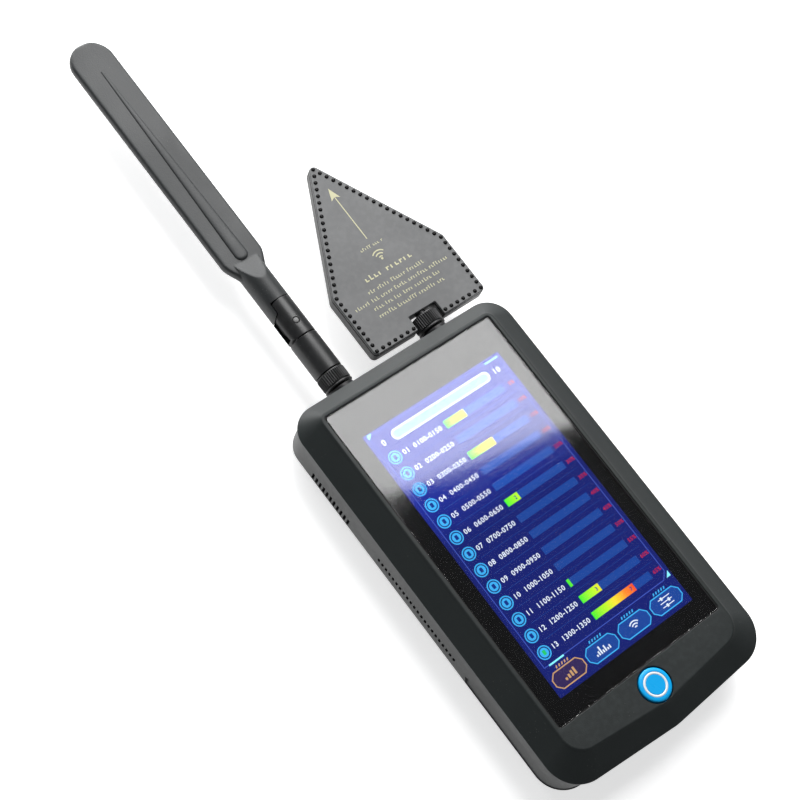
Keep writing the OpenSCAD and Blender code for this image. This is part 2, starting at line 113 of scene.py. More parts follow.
def prism(outline, low, high):
    return loft([[(x, y, low) for x, y in outline], [(x, y, high) for x, y in outline]])


def ringPrism(outer, inner, low, high):
    rings = [(outer, low), (outer, high), (inner, high), (inner, low)]
    return loft([[(x, y, z) for x, y in outline] for outline, z in rings], closed=True)


def slab(low, high):
    outline = [(low[0], low[1]), (high[0], low[1]), (high[0], high[1]), (low[0], high[1])]
    return prism(outline, low[2], high[2])


def turned(profile, centre, axis, segments=64, closed=False):
    # profile is a list of (distance along the axis, radius); a closed one makes a ring
    rings = []
    for along, radius in profile:
        ring = []
        for k in range(segments):
            a = 2 * math.pi * k / segments
            c, s = max(radius, 0.001) * math.cos(a), max(radius, 0.001) * math.sin(a)
            if axis == "z":
                ring.append((centre[0] + c, centre[1] + s, along))
            else:
                ring.append((centre[0] + s, along, centre[1] + c))
        rings.append(ring)
    return loft(rings, closed=closed)


def arcProfile(start, end, middle, steps):
    # quarter of an ellipse from start to end round middle, as (along, radius) pairs
    result = []
    for k in range(steps + 1):
        a = 0.5 * math.pi * k / steps
        result.append((middle[0] + (start[0] - middle[0]) * math.cos(a) + (end[0] - middle[0]) * math.sin(a),
                       middle[1] + (start[1] - middle[1]) * math.cos(a) + (end[1] - middle[1]) * math.sin(a)))
    return result


def rounded(corners, steps=8):
    # outline through corners (x, y, radius), counter-clockwise; a negative radius rounds an inward corner
    outline = []
    count = len(corners)
    for i, (x, y, radius) in enumerate(corners):
        before, after = Vector(corners[i - 1][:2]), Vector(corners[(i + 1) % count][:2])
        here = Vector((x, y))
        d1, d2 = (here - before).normalized(), (after - here).normalized()
        turn = math.atan2(d1.x * d2.y - d1.y * d2.x, d1.dot(d2))
        reach = radius * math.tan(turn / 2)
        centre = here - d1 * reach + Vector((-d1.y, d1.x)) * radius
        first = math.atan2(d1.y, d1.x) - math.pi / 2
        for k in range(steps + 1):
            a = first + turn * k / steps
            outline.append((centre.x + radius * math.cos(a), centre.y + radius * math.sin(a)))
    return outline


def boxOutline(x, y, width, length, radius, steps=8):
    w, h = width / 2, length / 2
    corners = [(x + w, y - h, radius), (x + w, y + h, radius), (x - w, y + h, radius), (x - w, y - h, radius)]
    return rounded(corners, steps)


def circleOutline(x, y, radius, segments=32):
    turnStep = 2 * math.pi / segments
    angles = [k * turnStep for k in range(segments)]
    return [(x + radius * math.cos(a), y + radius * math.sin(a)) for a in angles]


def arcBand(x, y, radius, width, reach, steps):  # part of a ring, reach radians each way
    angles = [reach * (2 * i / steps - 1) for i in range(steps + 1)]
    outer = [(x + radius * math.sin(a), y + radius * math.cos(a)) for a in angles[::-1]]
    inner = [(x + (radius - width) * math.sin(a), y + (radius - width) * math.cos(a)) for a in angles]
    return outer + inner


def mix(a, b, t):
    return a + (b - a) * t


def smoothStep(low, high, value):
    t = min(max((value - low) / (high - low), 0), 1)
    return t * t * (3 - 2 * t)


def scratchObject(shape):
    mesh = bpy.data.meshes.new("scratch")
    mesh.from_pydata(shape[0], [], shape[1])
    bm = bmesh.new()
    bm.from_mesh(mesh)
    bmesh.ops.recalc_face_normals(bm, faces=bm.faces[:])
    bm.to_mesh(mesh)
    bm.free()
    made = bpy.data.objects.new("scratch", mesh)
    bpy.context.scene.collection.objects.link(made)
    return made


def carved(shape, *steps):
    # steps are (operation, shape) pairs: UNION, DIFFERENCE or INTERSECT, in order
    base = scratchObject(shape)
    tools = []
    for operation, toolShape in steps:
        tool = scratchObject(toolShape)
        tools.append(tool)
        cut = base.modifiers.new("cut", "BOOLEAN")
        cut.operation = operation
        cut.solver = "EXACT"
        cut.object = tool
    bpy.context.view_layer.update()
    mesh = base.evaluated_get(bpy.context.evaluated_depsgraph_get()).to_mesh()
    result = [tuple(v.co) for v in mesh.vertices], [tuple(p.vertices) for p in mesh.polygons]
    for scratch in [base] + tools:
        bpy.data.objects.remove(scratch)
    return result


def addPiece(name, shape, body, material, slot, replaces=None, sharp=32):
    mesh = bpy.data.meshes.new(name)
    mesh.from_pydata([Vector(p) * mm for p in shape[0]], [], shape[1])
    bm = bmesh.new()
    bm.from_mesh(mesh)
    bmesh.ops.recalc_face_normals(bm, faces=bm.faces[:])
    bm.to_mesh(mesh)
    bm.free()
    mesh.polygons.foreach_set("use_smooth", [True] * len(mesh.polygons))
    mesh.set_sharp_from_angle(angle=math.radians(sharp))
    mesh.materials.append(material)
    piece = bpy.data.objects.new(name, mesh)
    bpy.context.scene.collection.objects.link(piece)
    weighted = piece.modifiers.new("weighted", "WEIGHTED_NORMAL")
    weighted.keep_sharp = True
    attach(piece, body)
    if replaces:
        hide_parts(replaces)


def dressNode(node, material):  # a CAD node that stays gets its finish here
    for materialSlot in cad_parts[node].material_slots:
        materialSlot.material = material


def newGroup(name, inputs, outputs):
    tree = bpy.data.node_groups.new(name, "ShaderNodeTree")
    kinds = {"value": "NodeSocketFloat", "colour": "NodeSocketColor", "vector": "NodeSocketVector"}
    for label, kind, value in inputs:
        socket = tree.interface.new_socket(name=label, in_out="INPUT", socket_type=kinds[kind])
        socket.default_value = value
    for label, kind in outputs:
        tree.interface.new_socket(name=label, in_out="OUTPUT", socket_type=kinds[kind])
    return tree, tree.nodes.new("NodeGroupInput"), tree.nodes.new("NodeGroupOutput")


def addNode(tree, kind, inputs=(), **settings):
    # inputs are (socket name or index, value or socket) pairs
    node = tree.nodes.new(kind)
    for key, value in settings.items():
        setattr(node, key, value)
    for key, value in inputs:
        if isinstance(value, bpy.types.NodeSocket):
            tree.links.new(value, node.inputs[key])
        else:
            node.inputs[key].default_value = value
    return node


def mathNode(tree, operation, a, b=0.0, c=0.0, clamp=False):
    node = addNode(tree, "ShaderNodeMath", [(0, a), (1, b), (2, c)], operation=operation)
    node.use_clamp = clamp
    return node.outputs[0]


def objectPlace(tree):
    return addNode(tree, "ShaderNodeTexCoord").outputs["Object"]


def noiseNode(tree, place, scale, detail=2.0, **more):
    inputs = [("Vector", place), ("Scale", scale), ("Detail", detail)] + list(more.items())
    return addNode(tree, "ShaderNodeTexNoise", inputs).outputs[0]


def rangeNode(tree, value, low, high):
    inputs = [("Value", value), ("From Min", low), ("From Max", high)]
    return addNode(tree, "ShaderNodeMapRange", inputs).outputs[0]


def makeFineGrain():  # moulded texture: fine pits over slow swells
    inputs = [("Scale", "value", 2500.0), ("Swell", "value", 0.25)]
    tree, start, end = newGroup("fineGrain", inputs, [("Height", "value"), ("Tone", "value")])
    place, scale = objectPlace(tree), start.outputs["Scale"]
    pits = noiseNode(tree, place, scale, 3.0, Roughness=0.65)
    cells = addNode(tree, "ShaderNodeTexVoronoi", [("Vector", place), ("Scale", scale)])
    slow = noiseNode(tree, place, mathNode(tree, "MULTIPLY", scale, 0.012), 3.0)
    mixed = mathNode(tree, "MULTIPLY_ADD", cells.outputs["Distance"], 0.45, pits)
    swell = mathNode(tree, "MULTIPLY", slow, start.outputs["Swell"])
    tree.links.new(mathNode(tree, "ADD", mixed, swell), end.inputs["Height"])
    tree.links.new(slow, end.inputs["Tone"])
    return tree


def makeEdgeWear():  # pale rubbed edges, broken up by noise
    inputs = [("Reach", "value", 0.06), ("Break", "value", 400.0)]
    tree, start, end = newGroup("edgeWear", inputs, [("Mask", "value")])
    edge = addNode(tree, "ShaderNodeNewGeometry").outputs["Pointiness"]
    noise = noiseNode(tree, objectPlace(tree), start.outputs["Break"], 5.0)
    top = mathNode(tree, "ADD", start.outputs["Reach"], 0.5)
    rubbed = rangeNode(tree, edge, 0.505, top)
    broken = rangeNode(tree, noise, 0.42, 0.66)
    tree.links.new(mathNode(tree, "MULTIPLY", rubbed, broken, clamp=True), end.inputs["Mask"])
    return tree


def makeHandling():  # soft smudges and a few specks of dust
    inputs = [("Smudge Scale", "value", 22.0), ("Speck Scale", "value", 900.0)]
    tree, start, end = newGroup("handling", inputs, [("Smudge", "value"), ("Speck", "value")])
    place = objectPlace(tree)
    smudge = noiseNode(tree, place, start.outputs["Smudge Scale"], 4.0, Distortion=0.8)
    cellInputs = [("Vector", place), ("Scale", start.outputs["Speck Scale"])]
    cell = addNode(tree, "ShaderNodeTexVoronoi", cellInputs)
    dot = mathNode(tree, "LESS_THAN", cell.outputs["Distance"], 0.09)
    some = mathNode(tree, "GREATER_THAN", noiseNode(tree, place, 60.0), 0.6)
    tree.links.new(rangeNode(tree, smudge, 0.38, 0.7), end.inputs["Smudge"])
    tree.links.new(mathNode(tree, "MULTIPLY", dot, some), end.inputs["Speck"])
    return tree


def makeBrushing():  # fine straight scratches across the part
    inputs = [("Stretch", "vector", (4000.0, 60.0, 4000.0))]
    tree, start, end = newGroup("brushing", inputs, [("Height", "value")])
    stretchInputs = [(0, objectPlace(tree)), (1, start.outputs["Stretch"])]
    stretched = addNode(tree, "ShaderNodeVectorMath", stretchInputs, operation="MULTIPLY")
    tree.links.new(noiseNode(tree, stretched.outputs[0], 1.0), end.inputs["Height"])
    return tree


def makeScreenGlow():  # uneven backlight with faint rows, and a painted reflection of the lamp that brightens it towards the antenna end
    inputs = [("Colour", "colour", (1, 1, 1, 1)), ("Row Pitch", "value", 0.00035),
              ("Depth", "value", 0.12), ("Lift From", "value", 0.012), ("Lift To", "value", 0.052),
              ("Lift", "value", 1.0)]
    tree, start, end = newGroup("screenGlow", inputs, [("Colour", "colour")])
    place = objectPlace(tree)
    along = addNode(tree, "ShaderNodeSeparateXYZ", [(0, place)]).outputs["Y"]
    row = mathNode(tree, "DIVIDE", along, start.outputs["Row Pitch"])
    sine = mathNode(tree, "SINE", mathNode(tree, "MULTIPLY", row, math.pi))
    wave = mathNode(tree, "ABSOLUTE", sine)
    slow = noiseNode(tree, place, 18.0, 1.0)
    dimmed = mathNode(tree, "MULTIPLY_ADD", wave, start.outputs["Depth"], 0.94)
    uneven = mathNode(tree, "MULTIPLY_ADD", slow, 0.16, 0.92)
    level = mathNode(tree, "MULTIPLY", dimmed, uneven)
    # painted reflection of the lamp: the glow is raised towards the antenna end
    upper = rangeNode(tree, along, start.outputs["Lift From"], start.outputs["Lift To"])
    gain = mathNode(tree, "MULTIPLY_ADD", upper, start.outputs["Lift"], 1.0)
    lit = [(0, start.outputs["Colour"]), (3, mathNode(tree, "MULTIPLY", level, gain))]
    scaled = addNode(tree, "ShaderNodeVectorMath", lit, operation="SCALE")
    tree.links.new(scaled.outputs[0], end.inputs["Colour"])
    return tree


groups = {
    "grain": makeFineGrain(), "wear": makeEdgeWear(), "handling": makeHandling(),
    "brushing": makeBrushing(), "glow": makeScreenGlow(),
}
print("stage: shader groups")


def newMaterial(name, **plain):
    material = bpy.data.materials.new(name)
    material.use_nodes = True
    tree = material.node_tree
    shader = tree.nodes["Principled BSDF"]
    for label, value in plain.items():
        shader.inputs[label.replace("_", " ")].default_value = value
    return material, tree, shader


def placeGroup(tree, name, **values):
    node = tree.nodes.new("ShaderNodeGroup")
    node.node_tree = groups[name]
    for label, value in values.items():
        node.inputs[label.replace("_", " ")].default_value = value
    return node


def mixColour(tree, factor, a, b):
    node = tree.nodes.new("ShaderNodeMix")
    node.data_type = "RGBA"
    for index, value in ((0, factor), (6, a), (7, b)):
        if isinstance(value, bpy.types.NodeSocket):
            tree.links.new(value, node.inputs[index])
        else:
            node.inputs[index].default_value = value
    return node.outputs[2]


def addBump(tree, shader, height, distance):
    bump = addNode(tree, "ShaderNodeBump", [("Height", height), ("Distance", distance)])
    tree.links.new(bump.outputs[0], shader.inputs["Normal"])


def smudgedGloss(tree, shader, rough, gain, **values):  # smudges change how rough a piece looks
    hands = placeGroup(tree, "handling", **values)
    gloss = mathNode(tree, "MULTIPLY_ADD", hands.outputs["Smudge"], gain, rough)
    tree.links.new(gloss, shader.inputs["Roughness"])


def rgba(colour, factor=1.0):
    return tuple(min(c * factor, 1.0) for c in colour[:3]) + (1.0,)


smudgeShine = 0.1  # how much smoother a smudge makes moulded plastic
dustColour = (0.35, 0.34, 0.32, 1)


def mouldedPlastic(name, colour, rough=0.42, grain=2500.0, depth=0.00003, wear=0.35, specular=0.5,
                   dust=0.25):
    material, tree, shader = newMaterial(name, Specular_IOR_Level=specular)
    texture = placeGroup(tree, "grain", Scale=grain)
    edges = placeGroup(tree, "wear")
    hands = placeGroup(tree, "handling")
    toned = mixColour(tree, texture.outputs["Tone"], rgba(colour, 0.86), rgba(colour, 1.14))
    worn = mathNode(tree, "MULTIPLY", edges.outputs["Mask"], wear)
    rubbed = mixColour(tree, worn, toned, rgba(colour, 2.4))
    specks = mathNode(tree, "MULTIPLY", hands.outputs["Speck"], dust)
    tree.links.new(mixColour(tree, specks, rubbed, dustColour), shader.inputs["Base Color"])
    highest = rough + smudgeShine * 0.5
    gloss = mathNode(tree, "MULTIPLY_ADD", hands.outputs["Smudge"], -smudgeShine, highest)
    rougher = mathNode(tree, "MULTIPLY_ADD", texture.outputs["Tone"], 0.06, gloss)
    tree.links.new(rougher, shader.inputs["Roughness"])
    addBump(tree, shader, texture.outputs["Height"], depth)
    return material


def finishedMetal(name, colour, rough=0.3, stretch=(4000.0, 60.0, 4000.0), depth=0.00001, wear=0.3,
                  metallic=1.0):
    material, tree, shader = newMaterial(name, Metallic=metallic)
    lines = placeGroup(tree, "brushing", Stretch=stretch)
    edges = placeGroup(tree, "wear", Reach=0.08)
    hands = placeGroup(tree, "handling")
    toned = mixColour(tree, lines.outputs["Height"], rgba(colour, 0.82), rgba(colour, 1.12))
    worn = mathNode(tree, "MULTIPLY", edges.outputs["Mask"], wear)
    tree.links.new(mixColour(tree, worn, toned, rgba(colour, 1.9)), shader.inputs["Base Color"])
    gloss = mathNode(tree, "MULTIPLY_ADD", hands.outputs["Smudge"], 0.12, rough)
    rougher = mathNode(tree, "MULTIPLY_ADD", lines.outputs["Height"], 0.1, gloss)
    tree.links.new(rougher, shader.inputs["Roughness"])
    addBump(tree, shader, lines.outputs["Height"], depth)
    return material


def litMaterial(name, colour, strength):  # matt surface that gives light and mirrors nothing
    made = newMaterial(name, Roughness=0.5, Specular_IOR_Level=0.0, Emission_Strength=strength)
    made[2].inputs["Base Color"].default_value = colour
    return made


def litPaint(name, colour, strength=1.0, paintedReflection=0.3):
    material, tree, shader = litMaterial(name, rgba(colour, 0.05), strength)
    # the lift adds a painted reflection of the lamp towards the antenna end
    glow = placeGroup(tree, "glow", Colour=rgba(colour), Lift=paintedReflection)
    tree.links.new(glow.outputs["Colour"], shader.inputs["Emission Color"])
    return material


levelStops = [(0.0, (0.04, 0.85, 0.03, 1)), (0.3, (0.5, 0.9, 0.02, 1)), (0.5, (0.95, 0.75, 0.03, 1)),
              (0.75, (0.95, 0.25, 0.02, 1)), (1.0, (0.85, 0.03, 0.01, 1))]


def levelPaint(name, low, high, strength):  # green to yellow to red from left to right
    material, tree, shader = litMaterial(name, (0.02, 0.02, 0.01, 1), strength)
    across = addNode(tree, "ShaderNodeSeparateXYZ", [(0, objectPlace(tree))]).outputs["X"]
    share = rangeNode(tree, across, low * mm, high * mm)
    ramp = addNode(tree, "ShaderNodeValToRGB", [(0, share)])
    while len(ramp.color_ramp.elements) < len(levelStops):
        ramp.color_ramp.elements.new(0.5)
    for element, (position, colour) in zip(ramp.color_ramp.elements, levelStops):
        element.position = position
        element.color = colour
    # the glow group's default lift paints a reflection of the lamp towards the antenna end
    glow = placeGroup(tree, "glow")
    tree.links.new(ramp.outputs[0], glow.inputs["Colour"])
    tree.links.new(glow.outputs["Colour"], shader.inputs["Emission Color"])
    return material


def clearGlass(name):
    material, tree, shader = newMaterial(name, Transmission_Weight=1.0, IOR=1.42)
    shader.inputs["Base Color"].default_value = (0.985, 0.99, 0.995, 1)
    smudgedGloss(tree, shader, 0.045, 0.02, Smudge_Scale=30.0)
    return material


def circuitBoard(name):
    material, tree, shader = newMaterial(name, Coat_Weight=0.4)
    pattern = [("Vector", objectPlace(tree)), ("Scale", 180.0), ("Mortar Size", 0.05)]
    tracks = addNode(tree, "ShaderNodeTexBrick", pattern).outputs["Fac"]
    lines = mathNode(tree, "MULTIPLY", tracks, 0.6)
    colours = mixColour(tree, lines, (0.01, 0.12, 0.05, 1), (0.05, 0.3, 0.12, 1))
    tree.links.new(colours, shader.inputs["Base Color"])
    smudgedGloss(tree, shader, 0.3, 0.2)
    addBump(tree, shader, tracks, 0.00003)
    return material


def wovenMesh(name):
    material, tree, shader = newMaterial(name, Sheen_Weight=0.3)
    pattern = [("Vector", objectPlace(tree)), ("Scale", 3000.0)]
    weave = addNode(tree, "ShaderNodeTexChecker", pattern).outputs["Fac"]
    colours = mixColour(tree, weave, (0.012, 0.012, 0.012, 1), (0.035, 0.035, 0.035, 1))
    tree.links.new(colours, shader.inputs["Base Color"])
    smudgedGloss(tree, shader, 0.75, 0.15)
    addBump(tree, shader, weave, 0.00005)
    return material


finish = {
    "front": mouldedPlastic("frontPlastic", (0.018, 0.022, 0.0222), rough=0.4, grain=2600.0, specular=0.27),
    "rear": mouldedPlastic("rearPlastic", (0.05, 0.053, 0.053), rough=0.42, grain=2200.0, depth=0.00004),
    "seal": mouldedPlastic("sealRubber", (0.008, 0.008, 0.008), rough=0.65, wear=0.1),
    "mask": mouldedPlastic("glassMask", (0.002, 0.002, 0.0024), rough=0.6, depth=0.000002, wear=0.0,
                           specular=0.0, dust=0.0),
    "black": mouldedPlastic("blackPlastic", (0.02, 0.02, 0.02), rough=0.4),
    "joint": mouldedPlastic("jointPlastic", (0.014, 0.0145, 0.015), rough=0.34, grain=3200.0, depth=0.00002),
    "blade": mouldedPlastic("bladeRubber", (0.02, 0.0225, 0.0235), rough=0.44, grain=1700.0,
                            depth=0.00005, wear=0.15),
    "tray": mouldedPlastic("trayPlastic", (0.04, 0.041, 0.041), rough=0.42),
    "face": mouldedPlastic("plateFace", (0.075, 0.077, 0.079), rough=0.38, grain=2800.0, depth=0.00002),
    "boardEdge": mouldedPlastic("boardEdge", (0.006, 0.006, 0.006), rough=0.4),
    "stud": mouldedPlastic("studGloss", (0.003, 0.003, 0.003), rough=0.2, depth=0.000004, wear=0.0,
                           specular=0.1),
    "print": mouldedPlastic("paleGoldPrint", (0.52, 0.5, 0.3), rough=0.45, depth=0.00001, wear=0.0),
    "blue": mouldedPlastic("buttonBlue", (0.004, 0.42, 0.94), rough=0.26, depth=0.000006, wear=0.0,
                           specular=0.25),
    "white": mouldedPlastic("buttonWhite", (0.86, 0.93, 0.98), rough=0.3, depth=0.000004, wear=0.0),
    "paleWhite": mouldedPlastic("whitePlastic", (0.75, 0.75, 0.7), rough=0.45),
    "foam": mouldedPlastic("foamPad", (0.04, 0.04, 0.04), rough=0.85, grain=1200.0, depth=0.0002, wear=0.0),
    "jacket": mouldedPlastic("cableJacket", (0.015, 0.015, 0.015), rough=0.5),
    "foil": finishedMetal("batteryFoil", (0.7, 0.7, 0.72), rough=0.35, depth=0.00004),
    "nut": finishedMetal("blackPlating", (0.03, 0.03, 0.031), rough=0.34, wear=0.5, metallic=0.6),
    "screw": finishedMetal("blackOxide", (0.05, 0.05, 0.055), rough=0.38, wear=0.5, metallic=0.8),
    "rivet": finishedMetal("darkSteel", (0.09, 0.09, 0.09), rough=0.3, wear=0.4),
    "steel": finishedMetal("platedSheet", (0.6, 0.6, 0.6), rough=0.28, stretch=(60.0, 4000.0, 4000.0)),
    "brass": finishedMetal("goldContacts", (0.8, 0.6, 0.25), rough=0.24),
    "board": circuitBoard("solderMask"),
    "cloth": wovenMesh("dustMesh"),
    "glass": clearGlass("coverGlass"),
}
print("stage: materials")


frontLow, frontHigh = span("front_housing")
rearLow, rearHigh = span("rear_housing")
glassLow, glassHigh = span("cover_glass")
capLow, capHigh = span("button_cap")

housing = {
    "topRadius": 11.0, "bottomRadius": 14.5, "kinkRadius": 25.0, "bottomRise": 3.4,
    "rimHalfWidth": 42.8, "rimTop": glassHigh.y + 2.0, "rimPoint": -78.9, "rimRise": 4.5,
    "rimTopRadius": 3.5, "rimBottomRadius": 9.0, "wall": 2.2, "arcSteps": 16,
}


def bodyOutline(t, inset=0.0):
    # outline of the housing: t = 0 is its widest edge, t = 1 is the edge of the flat border
    h = housing
    width = mix(frontHigh.x, h["rimHalfWidth"], t) - inset
    top = mix(frontHigh.y, h["rimTop"], t) - inset
    point = mix(frontLow.y, h["rimPoint"], t) + inset
    side = point + mix(h["bottomRise"], h["rimRise"], t)
    upper = max(mix(h["topRadius"], h["rimTopRadius"], t) - inset, 0.6)
    lower = max(mix(h["bottomRadius"], h["rimBottomRadius"], t) - inset, 0.6)
    corners = [(0, point, h["kinkRadius"]), (width, side, lower), (width, top, upper),
               (-width, top, upper), (-width, side, lower)]
    return rounded(corners, h["arcSteps"])


def bodyRing(z, t, inset=0.0):
    return [(x, y, z) for x, y in bodyOutline(t, inset)]


def fillFlat(shape, *levels):  # closes the flat faces between the loops that lie at each height
    bm = bmesh.new()
    mesh = bpy.data.meshes.new("scratch")
    mesh.from_pydata(shape[0], [], shape[1])
    bm.from_mesh(mesh)
    for z in levels:
        loops = [e for e in bm.edges if e.is_boundary and all(abs(v.co.z - z) < 1e-3 for v in e.verts)]
        bmesh.ops.triangle_fill(bm, edges=loops, use_beauty=True, normal=(0, 0, 1))
    bm.verts.index_update()
    result = [tuple(v.co) for v in bm.verts], [tuple(v.index for v in f.verts) for f in bm.faces]
    bm.free()
    bpy.data.meshes.remove(mesh)
    return result


def frontShell():
    under, top = frontLow.z, frontHigh.z
    ceiling = top - 2.4
    windowX, windowY = (glassLow.x + glassHigh.x) / 2, (glassLow.y + glassHigh.y) / 2
    width, length = glassHigh.x - glassLow.x, glassHigh.y - glassLow.y
    outer = [(under, 0, 0.7), (under + 0.25, 0, 0.42), (under + 0.7, 0, 0.12), (under + 1.1, 0, 0),
             (under + 1.35, 0.004, 0), (under + 1.5, 0.02, 0), (under + 1.75, 0.085, 0)]
    outer += [(mix(under + 1.75, top - 0.7, k / 4), mix(0.085, 0.9, k / 4), 0) for k in range(1, 4)]
    outer += [(top - 0.7, 0.9, 0), (top - 0.42, 0.945, 0), (top - 0.2, 0.975, 0.02), (top - 0.07, 0.99, 0.14),
              (top, 1, 0.35)]
    inner = [(ceiling, 0.85, 0.6), (under + 2, 0.5, 0.6), (under + 1, 0, housing["wall"] + 1),
             (under, 0, housing["wall"] + 1)]
    walls = loft([bodyRing(*level) for level in inner + outer], capStart=False, capEnd=False)

    def windowRing(z, grow):
        outline = boxOutline(windowX, windowY, width + 2 * grow, length + 2 * grow, 1.2 + max(grow, -0.6), 8)
        return [(x, y, z) for x, y in outline]

    ledge = glassLow.z - 0.2
    window = loft([windowRing(top, 0.72), windowRing(top - 0.07, 0.56), windowRing(top - 0.22, 0.5),
                   windowRing(ledge, 0.5), windowRing(ledge, -2.5), windowRing(ceiling, -2.5)], False, False)
    bore = (capHigh.x - capLow.x) / 2 - 0.75
    buttonY = (capLow.y + capHigh.y) / 2
    profile = [(top, bore + 0.3), (top - 0.12, bore + 0.08), (top - 0.3, bore), (ceiling, bore)]
    hole = turned(profile, (0, buttonY), "z", 72)
    hole = hole[0], hole[1][:-2]  # open at both ends
    return fillFlat(joined(walls, window, hole), top, ceiling)


addPiece("frontHousing", frontShell(), "case", finish["front"], "housing_front", "front_housing", sharp=38)
print("stage: front housing")


rear = {
    "inset": frontHigh.x - rearHigh.x, "edgeRadius": 5.5, "floor": 2.0, "postRadius": 3.4,
    "boardPostRadius": 2.6, "headRadius": 2.7, "headDepth": 2.0, "shankRadius": 1.4, "jackBore": 3.1,
    "slotCount": 11, "holeCount": 22, "ventPitch": 2.2, "firstSlot": 67.5, "firstHole": 26.6,
    "slotMiddle": 7, "slotHeight": 4, "holeMiddle": 9, "holeHeight": 2.1,
    "usbWidth": 9.2, "usbHeight": 3.4, "usbRadius": 1.6,
    # side view (y, z) of the shallow band that is cut in round the lower end
    "band": [(-27, 8), (-33, 12.5), (-100, 12.5), (-100, 3), (-29, 3)],
    "caseScrews": [(-45, 76), (45, 76), (-45, 35), (45, 35), (-40, -72), (40, -72)],
    "boardScrews": [(-37, 62), (37, 62), (-37, -48), (37, -48)],
}


def rearShell():
    inset, radius, wall = rear["inset"], rear["edgeRadius"], housing["wall"]
    top, floor = rearHigh.z, rear["floor"]
    outer = []
    for k in range(13):
        a = 0.5 * math.pi * k / 12
        outer.append((radius * (1 - math.sin(a)), 0, inset + radius * (1 - math.cos(a))))
    outer = outer[::-1] + [(top - 0.3, 0, inset), (top - 0.1, 0, inset + 0.08), (top, 0, inset + 0.3)]
    inner = [(top, 0, inset + wall), (floor + 2, 0, inset + wall), (floor + 0.6, 0, inset + wall + 0.7),
             (floor, 0, inset + wall + 2.5)]
    shell = loft([bodyRing(*level) for level in outer + inner])
    posts = []
    for spots, radius, end in ((rear["caseScrews"], rear["postRadius"], top),
                               (rear["boardScrews"], rear["boardPostRadius"], span("main_board")[0].z)):
        posts += [turned([(1, radius), (end, radius)], spot, "z", 32) for spot in spots]
    head, shank, deep = rear["headRadius"], rear["shankRadius"], rear["headDepth"]
    screwHole = [(-1, head), (deep, head), (deep, shank), (top + 1, shank)]
    cuts = [turned(screwHole, spot, "z", 40) for spot in rear["caseScrews"]]
    for vent in ("slot", "hole"):
        for k in range(rear[vent + "Count"]):
            y = rear["first" + vent.capitalize()] - k * rear["ventPitch"]
            cuts.append(ventCutter(rearLow.x, y, rear[vent + "Middle"], rear[vent + "Height"]))
    for jack in ("left_jack", "right_jack"):
        low, high = span(jack)
        centre = (low.x + high.x) / 2, (low.z + high.z) / 2
        cuts.append(turned([(74, rear["jackBore"]), (rearHigh.y + 1, rear["jackBore"])], centre, "y", 48))
    usbLow, usbHigh = span("usb_socket")
    opening = boxOutline((usbLow.y + usbHigh.y) / 2, (usbLow.z + usbHigh.z) / 2,
                         rear["usbWidth"], rear["usbHeight"], rear["usbRadius"], 8)
    cuts.append(loft([[(x, y, z) for y, z in opening] for x in (rearHigh.x - 5, rearHigh.x + 2)]))
    band = loft([[(x, y, z) for y, z in rear["band"]] for x in (-60, 60)])
    core = loft([bodyRing(-1, 0, inset + 1), bodyRing(20, 0, inset + 1)])
    bandCutter = carved(band, ("DIFFERENCE", core))
    return carved(shell, ("UNION", joined(*posts)), ("DIFFERENCE", joined(*cuts)),
                  ("DIFFERENCE", bandCutter))


def ventCutter(wallX, y, z, height):
    outline = boxOutline(y, z, 1.2, height, 0.45, 4)
    return loft([[(x, across, up) for across, up in outline] for x in (wallX - 2, wallX + 5)])


addPiece("rearHousing", rearShell(), "case", finish["rear"], "housing_rear", "rear_housing", sharp=35)
dressNode("housing_seal", finish["seal"])
print("stage: rear housing")


screen = {
    "activeWidth": 68.04, "activeLength": 120.96, "activeX": 0.8, "activeY": 5.8, "layerFrom": 0.25,
    "layerPitch": 0.025, "layerThickness": 0.02,
}
paints = {
    # panel and track, the darkest paints, get the strongest painted reflection
    "panel": litPaint("panelNavy", (0.005, 0.012, 0.165), paintedReflection=1.9),
    "track": litPaint("trackBlue", (0.01, 0.06, 0.33), paintedReflection=1.4),
    "cyan": litPaint("lineCyan", (0.05, 0.46, 0.92)),
    "frameLine": litPaint("lineViolet", (0.05, 0.1, 0.55)),
    "pale": litPaint("paleCyan", (0.25, 0.85, 1.0), 1.1),
    "white": litPaint("textWhite", (0.8, 0.88, 1.0)),
    "red": litPaint("textRed", (0.5, 0.015, 0.06)),
    "gold": litPaint("tabGold", (0.62, 0.36, 0.16)),
    "goldFill": litPaint("tabFill", (0.035, 0.02, 0.1)),
    "green": litPaint("dotGreen", (0.02, 0.6, 0.15)),
    "dark": litPaint("iconDark", (0.004, 0.03, 0.25)),
}


def glassOutline(inset, radius):
    x, y = (glassLow.x + glassHigh.x) / 2, (glassLow.y + glassHigh.y) / 2
    width, length = glassHigh.x - glassLow.x, glassHigh.y - glassLow.y
    return boxOutline(x, y, width - 2 * inset, length - 2 * inset, radius, 8)


def glassShape():
    low, high = glassLow.z, glassHigh.z
    levels = [(low, 0.15), (low + 0.12, 0), (high - 0.3, 0), (high - 0.06, 0.02), (high - 0.02, 0.06),
              (high, 0.12)]
    return loft([[(a, b, z) for a, b in glassOutline(inset, 1.2 - inset)] for z, inset in levels])


def maskShape():
    inner = boxOutline(screen["activeX"], screen["activeY"], screen["activeWidth"],
                       screen["activeLength"], 0.3, 8)
    return ringPrism(glassOutline(0.15, 1.1), inner, glassLow.z - 0.09, glassLow.z - 0.02)


